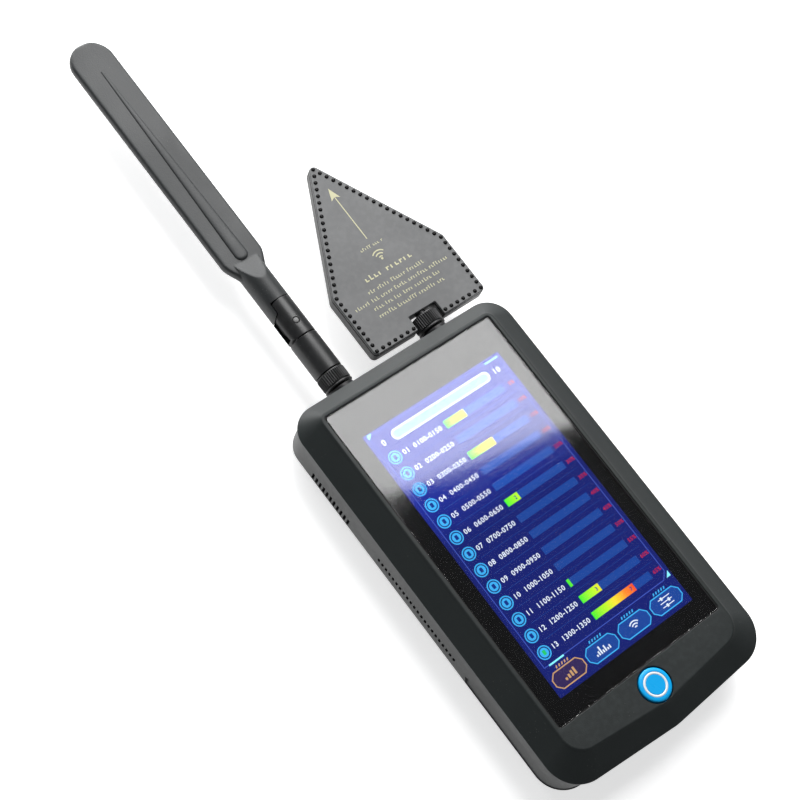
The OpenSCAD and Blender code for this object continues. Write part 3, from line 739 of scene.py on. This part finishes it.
addPiece("coverGlass", glassShape(), "case", finish["glass"], "screen_glass", "cover_glass", sharp=50)
addPiece("glassMask", maskShape(), "case", finish["mask"], "seal", "glass_adhesive")
dressNode("glass_gasket", finish["seal"])
panelLow, panelHigh = span("display_panel")
panelOutline = boxOutline(0, (panelLow.y + panelHigh.y) / 2, panelHigh.x - panelLow.x,
                          panelHigh.y - panelLow.y, 1, 8)
addPiece("displayPanel", prism(panelOutline, panelLow.z, panelHigh.z - 0.26), "case", paints["panel"],
         "display", "display_panel")
dressNode("display_frame", finish["steel"])
print("stage: glass and panel")


# Screen graphics: every mark is a thin tile on its own layer above the panel
def layerZ(layer):
    low = panelHigh.z - screen["layerFrom"] + layer * screen["layerPitch"]
    return low, low + screen["layerThickness"]


def onScreen(outline):
    return [(x + screen["activeX"], y + screen["activeY"]) for x, y in outline]


def tile(outline, layer):
    low, high = layerZ(layer)
    return prism(onScreen(outline), low, high)


def ringTile(outer, inner, layer):
    low, high = layerZ(layer)
    return ringPrism(onScreen(outer), onScreen(inner), low, high)


def rectangle(x1, y1, x2, y2):
    return [(x1, y1), (x2, y1), (x2, y2), (x1, y2)]


def stripe(x1, y1, x2, y2, width):
    along = Vector((x2 - x1, y2 - y1)).normalized() * width / 2
    across = Vector((-along.y, along.x))
    a, b = Vector((x1, y1)), Vector((x2, y2))
    return [tuple(p) for p in (a - across, b - across, b + across, a + across)]


def textTiles(words, x, y, height, layer, align="LEFT"):
    # flat glyphs of the built-in face; y is the middle of the line
    curve = bpy.data.curves.new("scratch", "FONT")
    curve.body = words
    curve.size = height / 0.69
    curve.align_x = align
    curve.resolution_u = 2
    curve.offset = height * 0.028
    curve.space_character = 1.12
    low, high = layerZ(layer)
    curve.extrude = (high - low) / 2
    made = bpy.data.objects.new("scratch", curve)
    bpy.context.scene.collection.objects.link(made)
    bpy.context.view_layer.update()
    mesh = made.evaluated_get(bpy.context.evaluated_depsgraph_get()).to_mesh()
    left, bottom = x + screen["activeX"], y + screen["activeY"] - height / 2
    points = [(v.co.x + left, v.co.y + bottom, v.co.z + (low + high) / 2) for v in mesh.vertices]
    faces = [tuple(p.vertices) for p in mesh.polygons]
    bpy.data.objects.remove(made)
    bpy.data.curves.remove(curve)
    return points, faces


rows = {
    "count": 13, "first": 47.3, "pitch": 7.58, "iconX": -28.0, "labelX": -24.3, "barLeft": -3.2,
    "barRight": 26.6, "barHeight": 3.2, "percentX": 31.8,
}
rowLevel = {0: 6.7, 2: 9.2, 5: 3.2, 10: -1.9, 11: 6.5, 12: 18.0}
labelledLevels = (5, 11, 12)


def rowY(k):
    return rows["first"] - k * rows["pitch"]


# Plain numbers only: the row's own number with an evenly stepped range, and tenths of a full bar
def rowLabel(k):
    start = 100 * (k + 1)
    return "%02d  %04d-%04d" % (k + 1, start, start + 50)


def levelLabel(k):
    share = (rowLevel[k] - rows["barLeft"]) / (rows["barRight"] - rows["barLeft"])
    return "%d" % round(10 * share)


def addScreenPiece(name, shapes, paint):
    addPiece(name, joined(*shapes), "case", paints[paint] if isinstance(paint, str) else paint, "display")


def addRows():
    tracks, rings, discs, hearts, labels, percents, lines, levels, marks = [], [], [], [], [], [], [], [], []
    for k in range(rows["count"]):
        y, half = rowY(k), rows["barHeight"] / 2
        filled = rowLevel.get(k, rows["barLeft"])
        tracks.append(tile(rectangle(max(filled, rows["barLeft"]), y - half, rows["barRight"], y + half), 1))
        if k in rowLevel:
            levels.append(tile(rectangle(rows["barLeft"], y - half, filled, y + half), 2))
        if k in labelledLevels:
            marks.append(textTiles(levelLabel(k), filled - 2.2, y, 1.5, 4))
        rings.append(ringTile(circleOutline(rows["iconX"], y, 2.8), circleOutline(rows["iconX"], y, 2.3), 2))
        discs.append(tile(circleOutline(rows["iconX"], y, 1.85), 2))
        hearts.append(tile(boxOutline(rows["iconX"], y, 1.3, 1.9, 0.3, 3), 3))
        labels.append(textTiles(rowLabel(k), rows["labelX"], y, 2.0, 3))
        percents.append(textTiles("%d%%" % (5 * (k + 1)), rows["percentX"], y, 1.5, 3, align="RIGHT"))
        if k:
            lines.append(tile(rectangle(-25.0, y + 3.72, 30.5, y + 3.86), 1))
    addScreenPiece("screenTracks", tracks, "track")
    addScreenPiece("screenIconRings", rings, "cyan")
    addScreenPiece("screenIconDiscs", discs, "cyan")
    addScreenPiece("screenIconMarks", hearts[:-1], "dark")
    addScreenPiece("screenIconGreen", hearts[-1:], "green")
    addScreenPiece("screenLabels", labels, "white")
    addScreenPiece("screenPercents", percents, "red")
    addScreenPiece("screenRowLines", lines, "track")
    left = rows["barLeft"] + screen["activeX"]
    sweep = levelPaint("levelSweep", left, left + 22.0, 1.1)
    addScreenPiece("screenLevels", levels, sweep)
    addScreenPiece("screenLevelText", marks, "dark")


def addHeader():
    pill = boxOutline(0.6, 54.6, 48.6, 4.6, 2.2, 8)
    inside = boxOutline(0.6, 54.6, 47.4, 3.4, 1.6, 8)
    addScreenPiece("screenPillEdge", [ringTile(pill, inside, 2)], "white")
    addScreenPiece("screenPillFill", [tile(inside, 1)], "pale")
    ends = [textTiles("0", -29.0, 54.4, 2.4, 3), textTiles("10", 26.9, 54.5, 2.2, 3)]
    addScreenPiece("screenPillText", ends, "white")
    frameLines = [stripe(-31.5, 59.3, 32.2, 59.3, 0.3), stripe(-31.8, 59.3, -31.8, -48.3, 0.3),
                  stripe(32.2, 59.3, 32.2, -45.6, 0.3), stripe(32.2, -45.6, 29.6, -48.3, 0.3),
                  stripe(29.6, -48.3, -31.8, -48.3, 0.3)]
    addScreenPiece("screenFrame", [tile(line, 1) for line in frameLines], "frameLine")
    accents = [stripe(26.3, 58.9, 32.6, 58.9, 0.55), stripe(-29.6, -48.5, -22.4, -48.5, 0.7)]
    accents += [[(-32.2, 60.0), (-32.2, 57.9), (-30.1, 60.0)], [(33.3, -48.3), (33.3, -46.0), (31.2, -48.3)]]
    addScreenPiece("screenAccents", [tile(outline, 2) for outline in accents], "pale")


def octagon(x, y, width, height, cut):
    w, h = width / 2, height / 2
    return [(x + w, y - h + cut), (x + w, y + h - cut), (x + w - cut, y + h), (x - w + cut, y + h),
            (x - w, y + h - cut), (x - w, y - h + cut), (x - w + cut, y - h), (x + w - cut, y - h)]


tabs = {
    "xs": (-24.9, -8.3, 8.3, 24.9), "y": -55.0, "outer": (15.3, 7.2, 2.2), "inner": (14.4, 6.3, 1.9),
    "dashes": 5, "dashFrom": -3.2, "dashPitch": 1.35, "dashLow": 4.1, "dashHigh": 5.1, "signFoot": -56.6,
    "spectrum": (0.8, 1.7, 3.2, 1.2, 2.4, 0.9, 1.5), "arcRadii": (1.0, 2.1, 3.2),
    "knobs": ((23.6, -53.4), (26.3, -55.0), (24.4, -56.6)),
}


def addTabs():
    edges, fills = [], []
    for x in tabs["xs"]:
        y = tabs["y"]
        outer, inner = octagon(x, y, *tabs["outer"]), octagon(x, y, *tabs["inner"])
        fills.append(tile(inner, 1))
        parts = [ringTile(outer, inner, 2)]
        low, high = y + tabs["dashLow"], y + tabs["dashHigh"]
        for d in range(tabs["dashes"]):
            left = x + tabs["dashFrom"] + d * tabs["dashPitch"]
            parts.append(tile([(left, low), (left + 0.6, low), (left + 1.0, high), (left + 0.4, high)], 2))
        edges.append(joined(*parts))
    # signs: bars, a spectrum, arcs and sliders
    foot = tabs["signFoot"]
    bars = [rectangle(-27.6 + 1.5 * k, foot, -26.7 + 1.5 * k, foot + 1 + 0.62 * k) for k in range(4)]
    signs = [rectangle(-11.9 + 1.05 * k, foot, -11.25 + 1.05 * k, foot + h)
             for k, h in enumerate(tabs["spectrum"])]
    signs += [arcBand(tabs["xs"][2], foot, radius, 0.5, 0.8, 10) for radius in tabs["arcRadii"]]
    signs += [rectangle(22.0, y - 0.18, 27.8, y + 0.18) for x, y in tabs["knobs"]]
    signs += [rectangle(x - 0.45, y - 0.65, x + 0.45, y + 0.65) for x, y in tabs["knobs"]]
    addScreenPiece("screenTabFills", fills[1:], "track")
    addScreenPiece("screenTabFirstFill", fills[:1], "goldFill")
    addScreenPiece("screenTabEdges", edges[1:], "cyan")
    addScreenPiece("screenTabFirst", edges[:1] + [tile(bar, 2) for bar in bars], "gold")
    addScreenPiece("screenTabSigns", [tile(outline, 3) for outline in signs], "white")


addRows()
addHeader()
addTabs()
print("stage: screen graphics")


def buttonShapes():
    y, top = (capLow.y + capHigh.y) / 2, capHigh.z
    radius, flange = (capHigh.x - capLow.x) / 2 - 1.25, (capHigh.x - capLow.x) / 2
    profile = [(capLow.z, 0), (capLow.z, flange), (capLow.z + 0.8, flange), (capLow.z + 0.8, radius),
               (top - 0.6, radius)]
    profile += arcProfile((top - 0.6, radius), (top - 0.05, radius - 0.8), (top - 0.6, radius - 0.8), 5)
    profile += [(top, radius - 1.3), (top, 5.05), (top - 0.12, 4.95), (top - 0.3, 4.95),
                (top - 0.3, 3.85), (top - 0.12, 3.85), (top, 3.75), (top, 0)]
    ringTop = span("button_ring")[1].z
    ring = [(top - 0.28, 4.9), (ringTop - 0.14, 4.9), (ringTop - 0.02, 4.7), (ringTop, 4.4),
            (ringTop - 0.02, 4.1), (ringTop - 0.14, 3.9), (top - 0.28, 3.9)]
    return turned(profile, (0, y), "z", 96), turned(ring, (0, y), "z", 96, closed=True)


capShape, ringShape = buttonShapes()
addPiece("buttonCap", capShape, "button", finish["blue"], "button_blue", "button_cap", sharp=40)
addPiece("buttonRing", ringShape, "button", finish["white"], "button_white", "button_ring", sharp=60)
dressNode("switch_plunger", finish["paleWhite"])
dressNode("button_switch", finish["black"])
dressNode("button_board", finish["board"])
print("stage: button")


insideFinish = {  # CAD nodes that stay as they are, mostly inside the housing
    "main_board": "board", "shield_can": "steel", "rf_sockets": "brass", "rf_leads": "jacket",
    "battery_pack": "foil", "battery_pad": "foam", "speaker": "black", "vent_mesh": "cloth",
    "usb_socket": "steel", "case_screws": "screw", "board_screws": "steel", "left_jack": "nut",
    "right_jack": "nut", "paddle_plug": "brass", "paddle_element": "board", "plate_plug": "nut",
    "plate_lead": "jacket",
}
for node, name in insideFinish.items():
    dressNode(node, finish[name])


coupling = {"teeth": 40, "toothDepth": 0.34, "groove": 1.2, "bore": 3.3, "lip": 2.65, "lipDepth": 1.2}


def axisOf(node):  # x and z of a part that turns about Y
    low, high = span(node)
    return (low.x + high.x) / 2, (low.z + high.z) / 2


def couplingNut(node):
    low, high = span(node)
    x, z = axisOf(node)
    radius, bore, lip = (high.x - low.x) / 2, coupling["bore"], coupling["lip"]
    count = coupling["teeth"] * 6
    knurl, deep = low.y + coupling["groove"], coupling["toothDepth"]

    def ring(y, r, tooth=0.0):
        points = []
        for k in range(count):
            a = 2 * math.pi * k / count
            wave = 0.5 - 0.5 * math.cos(coupling["teeth"] * a)
            here = r - tooth * (wave ** 1.3)
            points.append((x + here * math.sin(a), y, z + here * math.cos(a)))
        return points

    # distance from the lower end, how far in from the widest radius, tooth depth
    lower = [(0, 0.3, 0), (0.12, 0.08, 0), (0.3, 0, 0), (0.6, 0, 0), (0.78, 0.12, 0), (0.85, 0.45, 0)]
    upper = [(0.75, 0, deep), (0.55, 0.05, deep * 0.5), (0.4, 0.2, 0), (0.12, 0.3, 0), (0, 0.55, 0)]
    rings = [ring(low.y, bore)] + [ring(low.y + up, radius - into, tooth) for up, into, tooth in lower]
    rings += [ring(knurl - 0.05, radius - 0.45), ring(knurl, radius - 0.35),
              ring(knurl + 0.3, radius - 0.05, deep * 0.6), ring(knurl + 0.5, radius, deep)]
    rings += [ring(high.y - down, radius - into, tooth) for down, into, tooth in upper]
    rings += [ring(high.y, lip), ring(high.y - coupling["lipDepth"], lip),
              ring(high.y - coupling["lipDepth"], bore)]
    return loft(rings, closed=True)


def lockRings():
    shapes = []
    low, high = span("jack_nuts")
    for jack in ("left_jack", "right_jack"):
        x, z = axisOf(jack)
        r = high.z - z
        start, bend = (high.y - 0.55, r), (high.y - 0.55, r - 0.55)
        profile = [(low.y, 3.1), (low.y, r - 0.1), (low.y + 0.25, r), start]
        profile += arcProfile(start, (high.y, r - 0.55), bend, 4) + [(high.y, 3.1)]
        shapes.append(turned(profile, (x, z), "y", 72, closed=True))
    return joined(*shapes)


for antenna in ("paddle", "plate"):
    node = antenna + "_nut"
    addPiece(antenna + "CouplingNut", couplingNut(node), antenna + "_coupling", finish["nut"],
             "black_metal", node, sharp=28)
addPiece("jackLockRings", lockRings(), "case", finish["nut"], "black_metal", "jack_nuts")
print("stage: connectors")


sleeveLow, sleeveHigh = span("paddle_sleeve")
knuckleLow, knuckleHigh = span("paddle_knuckle")
rivetLow, rivetHigh = span("paddle_rivet")
bladeLow, bladeHigh = span("paddle_blade")
pinX, pinY = (rivetLow.x + rivetHigh.x) / 2, (rivetLow.y + rivetHigh.y) / 2
pinZ = (rivetLow.z + rivetHigh.z) / 2
neckRadius = (sleeveHigh.x - sleeveLow.x) / 2

paddle = {
    "halfWidth": (bladeHigh.x - bladeLow.x) / 2, "halfThick": 2.1, "edge": 1.5, "shoulderFrom": 24.5,
    "shoulderTo": 35.0, "scoopFrom": 21.5, "scoopTo": 33.5, "ribHeight": 0.75, "ribWide": 2.9,
    "ribNarrow": 0.5, "ribFrom": 35.5, "ribToTip": 15.0, "sectionPoints": 144, "ear": 4.1,
    "slotHalf": 2.1, "tongueHalf": 1.9, "rivetRadius": 1.5,
}


def sleeveShape():
    low, high, r = sleeveLow.y, sleeveHigh.y - 0.3, neckRadius
    profile = [(low + 8, 0), (low + 8, 1.6), (low + 3, 1.6), (low + 3, 2.4), (low, 2.4),
               (low, r - 0.35), (low + 0.1, r - 0.1), (low + 0.35, r), (high - 0.35, r),
               (high - 0.1, r - 0.1), (high, r - 0.35), (high, 3), (high + 0.3, 3), (high + 0.3, 0)]
    return turned(profile, (pinX, pinZ), "y", 96)


def disc(radius, half):
    return turned([(pinZ - half, radius), (pinZ + half, radius)], (pinX, pinY), "z", 96)


def knuckleShape():
    low, high, r, slot = knuckleLow.y, knuckleHigh.y, neckRadius, paddle["slotHalf"]
    edge = [(low, r - 0.35), (low + 0.1, r - 0.1), (low + 0.35, r), (high, r)]
    body = turned(edge, (pinX, pinZ), "y", 128)
    middle = slab((pinX - paddle["ear"] + 0.3, low - 1, pinZ - 7), (pinX + 4, high + 1, pinZ + 7))
    middle = carved(middle, ("INTERSECT", disc(high - pinY, 8)))
    right = slab((pinX, low - 1, pinZ - 9), (pinX + 8, high + 1, pinZ + 9))
    keep = carved(disc(7.2, 8), ("UNION", middle), ("UNION", right))
    cuts = [disc(4.8, slot), slab((pinX - 8, pinY, pinZ - slot), (pinX + 8, pinY + 20, pinZ + slot)),
            slab((pinX - 8, pinY - 4.8, pinZ - slot), (pinX, pinY + 15, pinZ + slot)),
            disc(paddle["rivetRadius"], 8)]
    return carved(body, ("INTERSECT", keep), *[("DIFFERENCE", cut) for cut in cuts])


def rivetShape():
    low, high, r = rivetLow.z, rivetHigh.z, paddle["rivetRadius"]
    profile = [(low, 0), (low, r - 0.5), (low + 0.12, r - 0.2), (low + 0.35, r), (high - 0.35, r),
               (high - 0.12, r - 0.2), (high, r - 0.5), (high, 0)]
    return turned(profile, (pinX, pinY), "z", 48)


def shareOf(low, high, value):
    return min(max((value - low) / (high - low), 0), 1)


def bladeHalfWidth(s):
    share = smoothStep(paddle["shoulderFrom"], paddle["shoulderTo"], s)
    return mix(neckRadius - 0.05, paddle["halfWidth"], share)


def bladeSection(y, tip):
    s, t, points = y - pinY, paddle["halfThick"], []
    width = bladeHalfWidth(s)
    fromTip = tip - y
    if fromTip < width:
        width = math.sqrt(max(width ** 2 - (width - fromTip) ** 2, 1e-4))
    if fromTip < paddle["edge"]:
        t *= math.sqrt(max(1 - (1 - fromTip / paddle["edge"]) ** 2, 1e-4))
    edge = min(paddle["edge"], width * 0.98)
    scooped = shareOf(paddle["scoopFrom"], paddle["scoopTo"], s)
    clip = mix(neckRadius, paddle["halfThick"] - 0.3, scooped)
    neckShare = s < paddle["scoopTo"]
    for k in range(paddle["sectionPoints"]):
        u = 2 * math.pi * k / paddle["sectionPoints"]
        a = u - 0.33 * math.sin(2 * u)
        c, n = math.cos(a), math.sin(a)
        reach = t / max(abs(n), 1e-6)
        if reach * abs(c) > width - edge:
            base = (width - edge) * abs(c) / edge ** 2
            square = c * c / edge ** 2 + n * n / t ** 2
            root = base ** 2 - square * (((width - edge) / edge) ** 2 - 1)
            reach = (base + math.sqrt(max(root, 0))) / square
        if neckShare:
            reach = max(reach, min(neckRadius - 0.02, clip / max(abs(n), 1e-6)))
        points.append((pinX + reach * c, y, pinZ + reach * n))
    return points


def bladeBody():
    start, tip = pinY + 4.6, bladeHigh.y
    stops = [start, pinY + 12, pinY + 20]
    stops += [pinY + 20 + 0.5 * k for k in range(1, 42)]
    straightEnd = tip - paddle["halfWidth"]
    stops += [mix(pinY + 40.5, straightEnd, k / 24) for k in range(1, 25)]
    for k in range(1, 25):
        a = 0.5 * math.pi * k / 24
        stops.append(straightEnd + paddle["halfWidth"] * math.sin(a) - (0.01 if k == 24 else 0))
    return loft([bladeSection(y, tip) for y in stops])


def bladeRib():
    # a tapered ridge with a round lower end, sunk a little into the blade's face
    fromY, toY = pinY + paddle["ribFrom"], bladeHigh.y - paddle["ribToTip"]
    face, sunk = pinZ + paddle["halfThick"] - 0.02, pinZ + 0.9
    rings = []
    for k in range(61):
        y = mix(fromY - paddle["ribWide"], toY, (k / 60) ** 1.6)
        along = shareOf(fromY, toY, y)
        wide = mix(paddle["ribWide"], paddle["ribNarrow"], along)
        tall = paddle["ribHeight"] * mix(1, 0.32, along)
        if y < fromY:
            roundness = math.sqrt(max(1 - ((fromY - y) / paddle["ribWide"]) ** 2, 0.0009))
            wide *= roundness
            tall *= min(1, roundness * 1.25)
        angles = [math.pi * i / 24 for i in range(25)]
        ring = [(pinX - wide * math.cos(a), y, face + tall * math.sin(a) ** 0.8) for a in angles]
        rings.append(ring + [(pinX + wide, y, sunk), (pinX - wide, y, sunk)])
    return loft(rings)


def bladeShape():
    rib, half = bladeRib(), paddle["tongueHalf"]
    clear = slab((pinX - paddle["ear"], pinY, pinZ - 8), (pinX + 12, pinY + 11.3, pinZ + 8))
    tongue = slab((pinX - 4.5, pinY, pinZ - half), (pinX + 4.5, pinY + 12.5, pinZ + half))
    tongue = carved(disc(4.5, half), ("UNION", tongue))
    return carved(bladeBody(), ("DIFFERENCE", disc(7.6, 8)), ("DIFFERENCE", clear), ("UNION", tongue),
                  ("DIFFERENCE", disc(1.6, 8)), ("UNION", rib), ("UNION", mirroredZ(rib, pinZ)))


jointLook, bladeLook = (finish["joint"], "antenna_joint"), (finish["blade"], "antenna_blade")
addPiece("paddleSleeve", sleeveShape(), "case", *jointLook, "paddle_sleeve", sharp=40)
addPiece("paddleKnuckle", knuckleShape(), "knuckle", *jointLook, "paddle_knuckle", sharp=35)
addPiece("paddleRivet", rivetShape(), "knuckle", finish["rivet"], "rivet_steel", "paddle_rivet", sharp=50)
addPiece("paddleBlade", bladeShape(), "blade", *bladeLook, "paddle_blade", sharp=28)
print("stage: paddle antenna")


trayLow, trayHigh = span("plate_tray")
coverLow, coverHigh = span("plate_cover")
edgeLow, edgeHigh = span("plate_board")
plate = {
    "x": (coverLow.x + coverHigh.x) / 2, "y": coverLow.y, "halfWidth": (coverHigh.x - coverLow.x) / 2,
    "length": 81.0, "side": 28.4, "notchHalf": 6.8, "notchDepth": 6.4, "studInset": 1.5,
    "studPitch": 3.0, "studRadius": 0.85,
}


def plateOutline(inset, radius=2.0):
    p = plate
    w, n, d = p["halfWidth"] - inset, p["notchHalf"] + inset, p["notchDepth"] + inset
    side = p["side"] - inset * 0.4
    tip = p["length"] + 1.5 - inset * 1.8
    corners = [(w, inset, radius), (w, side, radius + 2), (0, tip, radius), (-w, side, radius + 2),
               (-w, inset, radius), (-n, inset, 0.5), (-n, d, -0.6), (n, d, -0.6), (n, inset, 0.5)]
    return [(x + p["x"], y + p["y"]) for x, y in rounded(corners, 8)]


def plateRing(z, inset, radius=2.0):
    return [(x, y, z) for x, y in plateOutline(inset, radius)]


def trayShape():
    low, high, curve = trayLow.z, trayHigh.z, 2.2
    rings = []
    for k in range(9):
        a = 0.5 * math.pi * k / 8
        rings.append(plateRing(low + curve * (1 - math.cos(a)), curve * (1 - math.sin(a))))
    rings += [plateRing(high - 0.2, 0), plateRing(high - 0.05, 0.06), plateRing(high, 0.2)]
    rings += [plateRing(high, 2.2, 1.0), plateRing(low + 1.4, 2.2, 1.0)]
    return loft(rings)


def coverShape():
    low, high = coverLow.z, coverHigh.z
    levels = [(low, 0.15), (low + 0.12, 0.02), (low + 0.25, 0), (high - 0.4, 0), (high - 0.2, 0.07),
              (high - 0.06, 0.2), (high, 0.4)]
    return loft([plateRing(z, inset) for z, inset in levels])


def studShapes():
    p = plate
    w, foot = p["halfWidth"] - p["studInset"], p["notchHalf"] + 1.4
    tip = p["length"] - 0.6 - p["studInset"]
    corner, bend = (w, p["studInset"]), (w, p["side"] - 0.6)
    runs = [((foot, p["studInset"]), corner), (corner, bend), (bend, (0, tip))]
    spots = [(0, tip)]
    for a, b in runs:
        count = max(1, round(math.dist(a, b) / p["studPitch"]))
        for k in range(count):
            x, y = mix(a[0], b[0], k / count), mix(a[1], b[1], k / count)
            spots += [(x, y), (-x, y)]
    low, tall, r = coverHigh.z - 0.05, 0.42, p["studRadius"]
    profile = [(low, 0), (low, r)] + arcProfile((low + 0.12, r), (low + 0.05 + tall, 0), (low + 0.12, 0), 5)
    return joined(*[turned(profile, (p["x"] + x, p["y"] + y), "z", 20) for x, y in spots])


plateMarks = {
    "arrowFrom": 42.7, "arrowTo": 64.5, "arrowTip": 68.8, "headHalf": 2.1, "headDrop": 1.1,
    "lineWidth": 0.42, "waveY": 32.6, "waveRadii": (1.3, 2.7, 4.1),
    # middle height, half length, mark height and stroke weight of each row of dashes
    "rows": [(39.5, 5.7, 1.3, 0.3), (28.3, 12.0, 2.3, 0.62), (23.2, 14.3, 1.6, 0.34),
             (19.7, 23.4, 1.6, 0.34), (16.3, 16.6, 1.6, 0.34), (12.8, 16.6, 1.6, 0.34)],
}


def printShapes():
    m = plateMarks
    half, foot = m["lineWidth"] / 2, m["arrowTo"] - m["headDrop"]
    outlines = [rectangle(-half, m["arrowFrom"], half, m["arrowTo"])]
    outlines.append([(-m["headHalf"], foot), (0, m["arrowTo"]), (m["headHalf"], foot), (0, m["arrowTip"])])
    outlines.append(circleOutline(0, m["waveY"], 0.5, 20))
    outlines += [arcBand(0, m["waveY"], radius, 0.5, 0.78, 12) for radius in m["waveRadii"]]
    chance = random.Random(7)
    for y, reach, tall, weight in m["rows"]:
        x = -reach
        while x < reach - weight:
            group = chance.randint(3, 8)  # short strokes in groups, with no letters
            for k in range(group):
                if x > reach - weight:
                    break
                rise = tall if chance.random() < 0.35 else tall * 0.68
                bottom = y - tall / 2
                outlines.append(rectangle(x, bottom, x + weight, bottom + rise))
                if chance.random() < 0.6:
                    up = bottom + (rise - weight * 0.8) * chance.choice((0, 1))
                    outlines.append(rectangle(x + weight, up, x + weight * 2.4, up + weight * 0.8))
                x += weight * 3.6
            x += weight * 2.6
    low, high = coverHigh.z - 0.02, coverHigh.z + 0.015
    placed = [[(x + plate["x"], y + plate["y"]) for x, y in outline] for outline in outlines]
    return joined(*[prism(outline, low, high) for outline in placed])


boardShape = prism(plateOutline(0.4), edgeLow.z, edgeHigh.z)
addPiece("plateTray", trayShape(), "plate", finish["tray"], "plate_tray", "plate_tray", sharp=40)
addPiece("plateBoard", boardShape, "plate", finish["boardEdge"], "black_plastic", "plate_board")
addPiece("plateCover", coverShape(), "plate", finish["face"], "plate_face", "plate_cover", sharp=40)
addPiece("plateStuds", studShapes(), "plate", finish["stud"], "stud_black", "plate_studs", sharp=50)
addPiece("platePrint", printShapes(), "plate", finish["print"], "plate_face")
print("stage: plate antenna")


studio = {
    "floorSize": 6.0, "floorGlow": 0.62, "floorDrop": 0.0004,
    "keySize": (0.86, 0.9), "keyPlace": (0.60, 0.635, 1.03), "keyTurn": -11.3, "keyPower": 18.0,
    "backSize": (1.4, 0.5), "backPlace": (0.35, 1.35, 0.42), "backPower": 28.0,
    "backAim": (0, 0.08, 0.02), "worldLight": 0.15,
}


def addFloor():
    half = studio["floorSize"] / 2
    mesh = bpy.data.meshes.new("floor")
    corners = [(x, y, -studio["floorDrop"]) for x, y in rectangle(-half, -half, half, half)]
    mesh.from_pydata(corners, [], [(0, 1, 2, 3)])
    floor = bpy.data.objects.new("floor", mesh)
    bpy.context.scene.collection.objects.link(floor)
    glow = studio["floorGlow"]
    material, tree, shader = newMaterial("paleFloor", Roughness=0.7, Emission_Strength=glow)
    noise = addNode(tree, "ShaderNodeTexNoise", [("Scale", 6.0), ("Detail", 3.0)]).outputs[0]
    tone = mixColour(tree, noise, (0.88, 0.88, 0.88, 1), (0.93, 0.93, 0.93, 1))
    tree.links.new(tone, shader.inputs["Base Color"])
    shader.inputs["Emission Color"].default_value = (1, 1, 1, 1)
    mesh.materials.append(material)


def addPanel(name, size, place, turn, power):
    light = bpy.data.lights.new(name, "AREA")
    light.shape = "RECTANGLE"
    light.size, light.size_y = size
    light.energy = power
    made = bpy.data.objects.new(name, light)
    made.location = place
    made.rotation_euler = turn
    bpy.context.scene.collection.objects.link(made)


def addWorld():
    world = bpy.data.worlds.new("studio")
    bpy.context.scene.world = world
    world.use_nodes = True
    tree = world.node_tree
    tree.nodes.clear()
    seen = addNode(tree, "ShaderNodeLightPath").outputs["Is Camera Ray"]
    kinds = [((0.95, 0.97, 1.0, 1), studio["worldLight"]), ((1, 1, 1, 1), 1.0)]
    dim, pale = [addNode(tree, "ShaderNodeBackground", [("Color", colour), ("Strength", strength)])
                 for colour, strength in kinds]
    sides = [(0, seen), (1, dim.outputs[0]), (2, pale.outputs[0])]
    both = addNode(tree, "ShaderNodeMixShader", sides)
    output = tree.nodes.new("ShaderNodeOutputWorld")
    tree.links.new(both.outputs[0], output.inputs[0])


addFloor()
keyTurn = (0, 0, math.radians(studio["keyTurn"]))
addPanel("keyLight", studio["keySize"], studio["keyPlace"], keyTurn, studio["keyPower"])
toward = Vector(studio["backAim"]) - Vector(studio["backPlace"])
backTurn = toward.to_track_quat("-Z", "Y").to_euler()
addPanel("backLight", studio["backSize"], studio["backPlace"], backTurn, studio["backPower"])
addWorld()
print("stage: studio")
